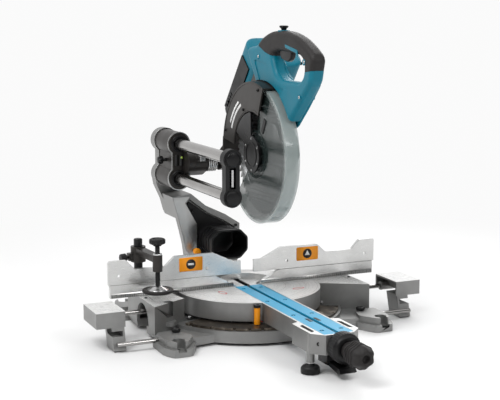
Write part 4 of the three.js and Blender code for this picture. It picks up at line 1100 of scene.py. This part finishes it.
def build_motor():
    kept("gear_case", "charcoal_casting", 1.5)
    kept("motor_cover", "black_moulding", 0.6)
    kept("motor_end_cover", "black_moulding", 0.6)
    kept("brush_cap", "black_moulding", 0.5)
    low, high = MOTOR_LOW, MOTOR_HIGH
    shell = slab("motor_shell", "y", rounded(
        [(low.x, low.z), (high.x, low.z), (high.x, high.z), (low.x, high.z)], 30, 8),
        low.y, high.y, edge=7, rings=4)
    panel = box("panel", (low.x - 1, low.y + 34, low.z + 26), (low.x + 5, high.y - 8,
                                                               high.z - 22))
    slope = slab("slope", "x", [(high.y + 1, low.z - 1), (high.y - 22, low.z - 1),
                                (high.y + 1, low.z + 34)], low.x - 1, high.x + 1)
    slots = [slab(f"slot_{k}", "x", rectangle(low.y + 30 + 13 * k, low.z + 26,
                                              low.y + 36 + 13 * k, high.z - 26, 3),
                  high.x - 3, high.x + 1) for k in range(6)]
    seam = box("seam", (low.x - 1, low.y + 20, (low.z + high.z) / 2 + 30.0),
               (high.x + 1, low.y + 20.8, high.z + 1))
    grooves = [box(f"groove_{k}", (low.x + 30, low.y + 60 + 6 * k, high.z - 1.2),
                   (high.x - 30, low.y + 63 + 6 * k, high.z + 1)) for k in range(4)]
    shell = carved(shell, panel, slope, seam, *slots, *grooves)
    shell.data.set_sharp_from_angle(angle=math.radians(35))
    piece(raised(shell), "head", "teal_moulding", replaces=("motor_housing",))
    # a thin black sheet showing at the bottoms of the vent slots: painted shade for the depth of the
    # vents
    dark = box("motor_dark", (high.x - 3.4, low.y + 31, low.z + 27),
               (high.x - 2.8, low.y + 100, high.z - 27))
    piece(raised(dark), "head", "satin_black")
    for k, (y, z) in enumerate(((low.y + 12, low.z + 18), (low.y + 12, high.z - 18),
                                (high.y - 12, high.z - 18), (high.y - 34, low.z + 18))):
        piece(raised(screw_head(f"motor_screw_{k}", "x", (y, z), high.x - 0.6, 1, 4, 2)),
              "head", "satin_black", 0.25)
    front = lathe("motor_nose", "y", [
        (0, low.y - 2.5), (26, low.y - 2.5), (29, low.y - 1.5), (30, low.y + 1), (0, low.y + 1)],
        ((low.x + high.x) / 2, (low.z + high.z) / 2), 72)
    piece(raised(front), "head", "black_moulding")


HANDLE_OUTLINE = [
    (4, 611), (-52, 616), (-78, 634), (-118, 647), (-160, 650), (-200, 648), (-232, 642),
    (-262, 633), (-292, 619), (-314, 606), (-320, 594), (-314, 574), (-308, 550),
    (-249, 497), (-198, 452), (-150, 470), (-60, 520),
]
FINGER_HOLE = [
    (-128, 602), (-150, 562), (-178, 549), (-258, 549), (-277, 562), (-280, 588), (-258, 603),
    (-160, 609),
]
GRIP_EDGE = [
    (-54, 660), (-64, 618), (-100, 604), (-140, 596), (-190, 580), (-228, 564), (-330, 577),
    (-400, 577), (-400, 660),
]
WEB_OUTLINE = [
    (-10, 600), (-120, 596), (-180, 545), (-228, 545), (-300, 548), (-249, 497), (-198, 452),
    (-110, 440), (-30, 500),
]


def build_handle():
    left, right = span("handle_grip")[0].x, span("handle_grip")[1].x
    case_right = span("blade_case")[1].x

    def ring(name, edge):
        return slab(name, "x", rounded(HANDLE_OUTLINE, 24, 5), left, right,
                    [rounded(FINGER_HOLE, 12, 4)], edge, 5)

    pocket = [(-140, 590), (-206, 590), (-216, 612), (-206, 628), (-150, 628), (-138, 612)]
    body = ring("handle_shell", 10)
    web = carved(slab("web", "x", rounded(WEB_OUTLINE, 10), case_right + 0.7, right, edge=2.5),
                 slab("finger", "x", rounded(FINGER_HOLE, 8), 0, 60))
    body = carved(body, web, operation="UNION")
    guard_room = lathe("guard_room", "x", [
        (0, left - 2), (158, left - 2), (158, case_right + 0.7), (0, case_right + 0.7)],
        (ARBOR.y, ARBOR.z), 160)
    low, high = MOTOR_LOW, MOTOR_HIGH
    motor_room = raised(box("motor_room", (low.x - 3, low.y - 0.4, low.z - 200),
                            (high.x, high.y, high.z + 40)))
    cover_room = raised(box("cover_room", (low.x - 4, low.y + 30, low.z + 20),
                            (high.x, high.y, high.z - 18)))
    above = slab("above", "x", [(y, z - 0.5) for y, z in GRIP_EDGE], left - 3, right + 12)
    trigger_room = slab("trigger_room", "x", pocket, left + 9, right - 9)
    recess = slab("recess", "x", rounded([
        (-42, 588), (-112, 580), (-136, 552), (-168, 534), (-196, 532), (-150, 505),
        (-84, 524)], 14), left - 2, left + 1.6)
    body = carved(body, above, guard_room, motor_room, cover_room, trigger_room, recess)
    piece(body, "head", "teal_moulding", 0.8, replaces=("handle_body",))

    grip = ring("grip_cover", 10.5)
    grip = carved(grip, slab("above", "x", GRIP_EDGE, left - 3, right + 3),
                  operation="INTERSECT")
    button = span("lock_off_button")
    centre = ((button[0].x + button[1].x) / 2, (button[0].y + button[1].y) / 2)
    grip = carved(grip, slab("trigger_room", "x", pocket, left + 9, right - 9),
                  lathe("bore", "z", [(0, 600), (6.2, 600), (6.2, 670), (0, 670)], centre, 32))
    piece(grip, "head", "soft_rubber", 0.8, replaces=("handle_grip",))

    # teal line let into the side of the grip
    inlay = [(-196, 623), (-252, 613), (-256, 600), (-249, 600), (-246, 607), (-198, 616)]
    for name, face, out in (("left", left, -1), ("right", right, 1)):
        a, b = sorted((face - out * 1.0, face + out * 0.5))
        piece(slab(f"grip_inlay_{name}", "x", rounded(inlay, 2, 3), a, b, edge=0.4),
              "head", "teal_moulding")
        for k, (y, z) in enumerate(((-282, 590), (-66, 594), (-262, 520))):
            a = lathe(f"handle_screw_ring_{name}_{k}", "x", [
                (3.4, face - out), (6.2, face - out), (6.2, face + out * 0.7),
                (5.2, face + out * 1.1), (3.4, face + out * 0.2)], (y, z), 48, closed=True)
            piece(a, "head", "teal_moulding")
            piece(screw_head(f"handle_screw_{name}_{k}", "x", (y, z), face - out * 1.4, out,
                             3.3, 1.6), "head", "ground_steel", 0.2)
    low, high = span("trigger")
    trigger = slab("trigger_blade", "x", rounded([
        (-148, 618), (-150, 596), (-164, 590), (-186, 586), (-200, 592), (-206, 604),
        (-200, 618)], 8, 5), low.x, high.x, edge=3, rings=4)
    piece(trigger, "trigger", "satin_black", replaces=("trigger",))
    low, high = button
    piece(lathe("lock_off_knob", "z", [
        (0, low.z), (5.5, low.z), (5.5, high.z - 8), (6, high.z - 6.4), (9.4, high.z - 3.4),
        (9.6, high.z - 1.4), (8.6, high.z - 0.2), (6, high.z), (0, high.z - 0.6)], centre, 64),
        "lock_off_button", "satin_black", replaces=("lock_off_button",))
    piece(lathe("lock_off_ring", "z", [
        (10, 647.6), (12.6, 647.6), (12.2, 649.8), (11.4, 650.4), (10, 650.4)], centre, 48,
        closed=True), "head", "teal_moulding")


# ---------------------------------------------------------------- stage

WALL = (0.96, 0.96, 0.96, 1)


def build_stage(studio):
    """Pale floor, soft lights and the camera."""
    bm = bmesh.new()
    bmesh.ops.create_grid(bm, x_segments=1, y_segments=1, size=9)
    floor = object_from("studio_floor", bm)
    floor.location.z = CAD_BOX[0].z - 0.0005
    material = base_finish("studio_floor", (0.86, 0.86, 0.86), 0.65)
    glow = add_node(material, "ShaderNodeEmission", Color=WALL)
    place = add_node(material, "ShaderNodeTexCoord")
    far = add_node(material, "ShaderNodeVectorMath")
    far.operation = "LENGTH"
    wire(material, place.outputs["Object"], far.inputs[0])
    fade = add_node(material, "ShaderNodeMapRange", From_Min=0.35, From_Max=1.5)
    fade.interpolation_type = "SMOOTHSTEP"
    wire(material, far.outputs["Value"], fade.inputs["Value"])
    blend = add_node(material, "ShaderNodeMixShader")
    wire(material, fade.outputs[0], blend.inputs[0])
    wire(material, lit(material).outputs[0], blend.inputs[1])
    wire(material, glow.outputs[0], blend.inputs[2])
    output = material.node_tree.nodes["Material Output"]
    wire(material, blend.outputs[0], output.inputs["Surface"])
    floor.data.materials.append(material)

    # a room that is dark in front and bright behind and above; the camera sees a pale wall
    world = bpy.data.worlds.new("studio")
    bpy.context.scene.world = world
    world.use_nodes = True
    world.node_tree.nodes.clear()
    way = add_node(world, "ShaderNodeTexCoord")
    split = add_node(world, "ShaderNodeSeparateXYZ")
    wire(world, way.outputs["Generated"], split.inputs[0])
    white, black = (1, 1, 1), (0, 0, 0)
    depth = ramp(world, remap(world, split.outputs["Y"], 0, 1, -1, 1),
                 [(0.3, (0.06, 0.06, 0.063)), (0.72, white)])
    above = ramp(world, split.outputs["Z"], [(0.45, black), (0.75, white)])
    both = add_node(world, "ShaderNodeMix")
    both.data_type, both.blend_type = "RGBA", "LIGHTEN"
    both.inputs[0].default_value = 1
    wire(world, depth, both.inputs[6])
    wire(world, above, both.inputs[7])
    room = add_node(world, "ShaderNodeBackground", Strength=studio.fill)
    wire(world, both.outputs[2], room.inputs["Color"])
    wall = add_node(world, "ShaderNodeBackground", Color=WALL, Strength=1)
    path = add_node(world, "ShaderNodeLightPath")
    pick = add_node(world, "ShaderNodeMixShader")
    wire(world, path.outputs["Is Camera Ray"], pick.inputs[0])
    wire(world, room.outputs[0], pick.inputs[1])
    wire(world, wall.outputs[0], pick.inputs[2])
    output = add_node(world, "ShaderNodeOutputWorld")
    wire(world, pick.outputs[0], output.inputs["Surface"])

    aim = Vector((0, 0, 0.3))
    for name, place, size, power in (
            ("key_light", (-1.5, -0.6, 2.3), 1.3, 1.0),
            ("rim_light", (1.5, 1.4, 1.7), 1.2, 0.7),
            ("front_light", (0.7, -2.4, 1.5), 0.8, 0.42)):
        light = bpy.data.lights.new(name, "AREA")
        light.size = size
        light.energy = studio.power * power
        lamp = bpy.data.objects.new(name, light)
        bpy.context.scene.collection.objects.link(lamp)
        lamp.location = place
        lamp.rotation_euler = (aim - Vector(place)).to_track_quat("-Z", "Y").to_euler()

    camera_data = bpy.data.cameras.new("camera")
    camera_data.lens = studio.lens
    camera_data.sensor_width = 36
    camera = bpy.data.objects.new("camera", camera_data)
    bpy.context.scene.collection.objects.link(camera)
    target = Vector((0, -0.014, 0.277))
    azimuth, pitch = studio.azimuth, studio.pitch
    back = Vector((-math.sin(azimuth) * math.cos(pitch), -math.cos(azimuth) * math.cos(pitch),
                   math.sin(pitch)))
    camera.location = target + back * studio.distance
    camera.rotation_euler = (-back).to_track_quat("-Z", "Y").to_euler()
    bpy.context.scene.camera = camera
    bpy.context.scene.view_settings.view_transform = "Standard"


# ---------------------------------------------------------------- add-on

class SawColours(bpy.types.PropertyGroup):
    """Colours of the painted and moulded pieces"""
    body: bpy.props.FloatVectorProperty(
        name="Body", description="Colour of the motor housing and the handle",
        default=(0.0, 0.165, 0.24), subtype="COLOR", min=0, max=1)
    charcoal: bpy.props.FloatVectorProperty(
        name="Charcoal", description="Colour of the dark castings",
        default=(0.04, 0.036, 0.033), subtype="COLOR", min=0, max=1)
    kerf: bpy.props.FloatVectorProperty(
        name="Kerf boards", description="Colour of the two boards beside the blade's slot",
        default=(0.005, 0.32, 0.55), subtype="COLOR", min=0, max=1)
    accent: bpy.props.FloatVectorProperty(
        name="Accent", description="Colour of the stop pin, the release knob and the labels",
        default=(1.0, 0.34, 0.0), subtype="COLOR", min=0, max=1)


class SawStudio(bpy.types.PropertyGroup):
    """Light and camera of the studio"""
    fill: bpy.props.FloatProperty(
        name="Fill", description="Strength of the light from all round", default=0.85, min=0)
    power: bpy.props.FloatProperty(
        name="Power", description="Power of the key light", default=34, min=0, unit="POWER")
    lens: bpy.props.FloatProperty(
        name="Lens", description="Focal length of the camera in millimetres", default=84.9,
        min=1)
    azimuth: bpy.props.FloatProperty(
        name="Azimuth", description="How far to the left of the front the camera stands",
        default=math.radians(24), subtype="ANGLE")
    pitch: bpy.props.FloatProperty(
        name="Pitch", description="How far above the horizon the camera stands",
        default=math.radians(9.2), subtype="ANGLE")
    distance: bpy.props.FloatProperty(
        name="Distance", description="Distance of the camera from the middle of the saw",
        default=2.603, unit="LENGTH")


class SAW_OT_base(bpy.types.Operator):
    """Base casting, mitre scale and pivot bolt"""
    bl_idname = "saw.base"
    bl_label = "Base"

    def execute(self, context):
        build_base()
        return {"FINISHED"}


class SAW_OT_turntable(bpy.types.Operator):
    """Turntable with its kerf boards, stop pin and lock lever"""
    bl_idname = "saw.turntable"
    bl_label = "Turntable"

    def execute(self, context):
        build_turntable()
        return {"FINISHED"}


class SAW_OT_front_grip(bpy.types.Operator):
    """Mitre grip, its collar and the screw foot"""
    bl_idname = "saw.front_grip"
    bl_label = "Front grip"

    def execute(self, context):
        build_front_grip()
        return {"FINISHED"}


class SAW_OT_fences(bpy.types.Operator):
    """Lower fence and sliding fences"""
    bl_idname = "saw.fences"
    bl_label = "Fences"

    def execute(self, context):
        build_fences()
        return {"FINISHED"}


class SAW_OT_wings(bpy.types.Operator):
    """Side supports on their rods"""
    bl_idname = "saw.wings"
    bl_label = "Side supports"

    def execute(self, context):
        build_wings()
        return {"FINISHED"}


class SAW_OT_vise(bpy.types.Operator):
    """Vertical vise"""
    bl_idname = "saw.vise"
    bl_label = "Vise"

    def execute(self, context):
        build_vise()
        return {"FINISHED"}


class SAW_OT_arm(bpy.types.Operator):
    """Tilting arm, rails and dust hood"""
    bl_idname = "saw.arm"
    bl_label = "Tilting arm"

    def execute(self, context):
        build_arm()
        return {"FINISHED"}


class SAW_OT_carriage(bpy.types.Operator):
    """Carriage that slides on the rails"""
    bl_idname = "saw.carriage"
    bl_label = "Carriage"

    def execute(self, context):
        build_carriage()
        return {"FINISHED"}


class SAW_OT_blade(bpy.types.Operator):
    """Blade, its case and its guard"""
    bl_idname = "saw.blade"
    bl_label = "Blade and guards"

    def execute(self, context):
        build_blade()
        return {"FINISHED"}


class SAW_OT_motor(bpy.types.Operator):
    """Motor and gear case"""
    bl_idname = "saw.motor"
    bl_label = "Motor"

    def execute(self, context):
        build_motor()
        return {"FINISHED"}


class SAW_OT_handle(bpy.types.Operator):
    """Handle with its soft grip and trigger"""
    bl_idname = "saw.handle"
    bl_label = "Handle"

    def execute(self, context):
        build_handle()
        return {"FINISHED"}


class SAW_OT_finishes(bpy.types.Operator):
    """Materials of every piece"""
    bl_idname = "saw.finishes"
    bl_label = "Finishes"

    def execute(self, context):
        make_finishes(context.scene.saw_colours)
        return {"FINISHED"}


class SAW_OT_stage(bpy.types.Operator):
    """Floor, lights and camera"""
    bl_idname = "saw.stage"
    bl_label = "Stage"

    def execute(self, context):
        build_stage(context.scene.saw_studio)
        return {"FINISHED"}


OPERATORS = (
    SAW_OT_stage, SAW_OT_finishes, SAW_OT_base, SAW_OT_turntable, SAW_OT_front_grip,
    SAW_OT_fences, SAW_OT_wings, SAW_OT_vise, SAW_OT_arm, SAW_OT_carriage, SAW_OT_blade,
    SAW_OT_motor, SAW_OT_handle,
)


class SAW_PT_panel(bpy.types.Panel):
    """Lists the saw's pieces and their settings"""
    bl_idname = "SAW_PT_panel"
    bl_label = "Sliding mitre saw"
    bl_space_type = "VIEW_3D"
    bl_region_type = "UI"
    bl_category = "Mitre saw"

    def draw(self, context):
        layout = self.layout
        for group in (context.scene.saw_colours, context.scene.saw_studio):
            for name in group.bl_rna.properties.keys():
                if name not in {"rna_type", "name"}:
                    layout.prop(group, name)
        for operator in OPERATORS:
            layout.operator(operator.bl_idname)


CLASSES = (SawColours, SawStudio, *OPERATORS, SAW_PT_panel)


def register():
    for item in CLASSES:
        bpy.utils.register_class(item)
    bpy.types.Scene.saw_colours = bpy.props.PointerProperty(type=SawColours)
    bpy.types.Scene.saw_studio = bpy.props.PointerProperty(type=SawStudio)


def unregister():
    del bpy.types.Scene.saw_colours
    del bpy.types.Scene.saw_studio
    for item in reversed(CLASSES):
        bpy.utils.unregister_class(item)


def main():
    register()
    for operator in OPERATORS:
        group, name = operator.bl_idname.split(".")
        getattr(getattr(bpy.ops, group), name)()


if __name__ == "__main__":
    main()
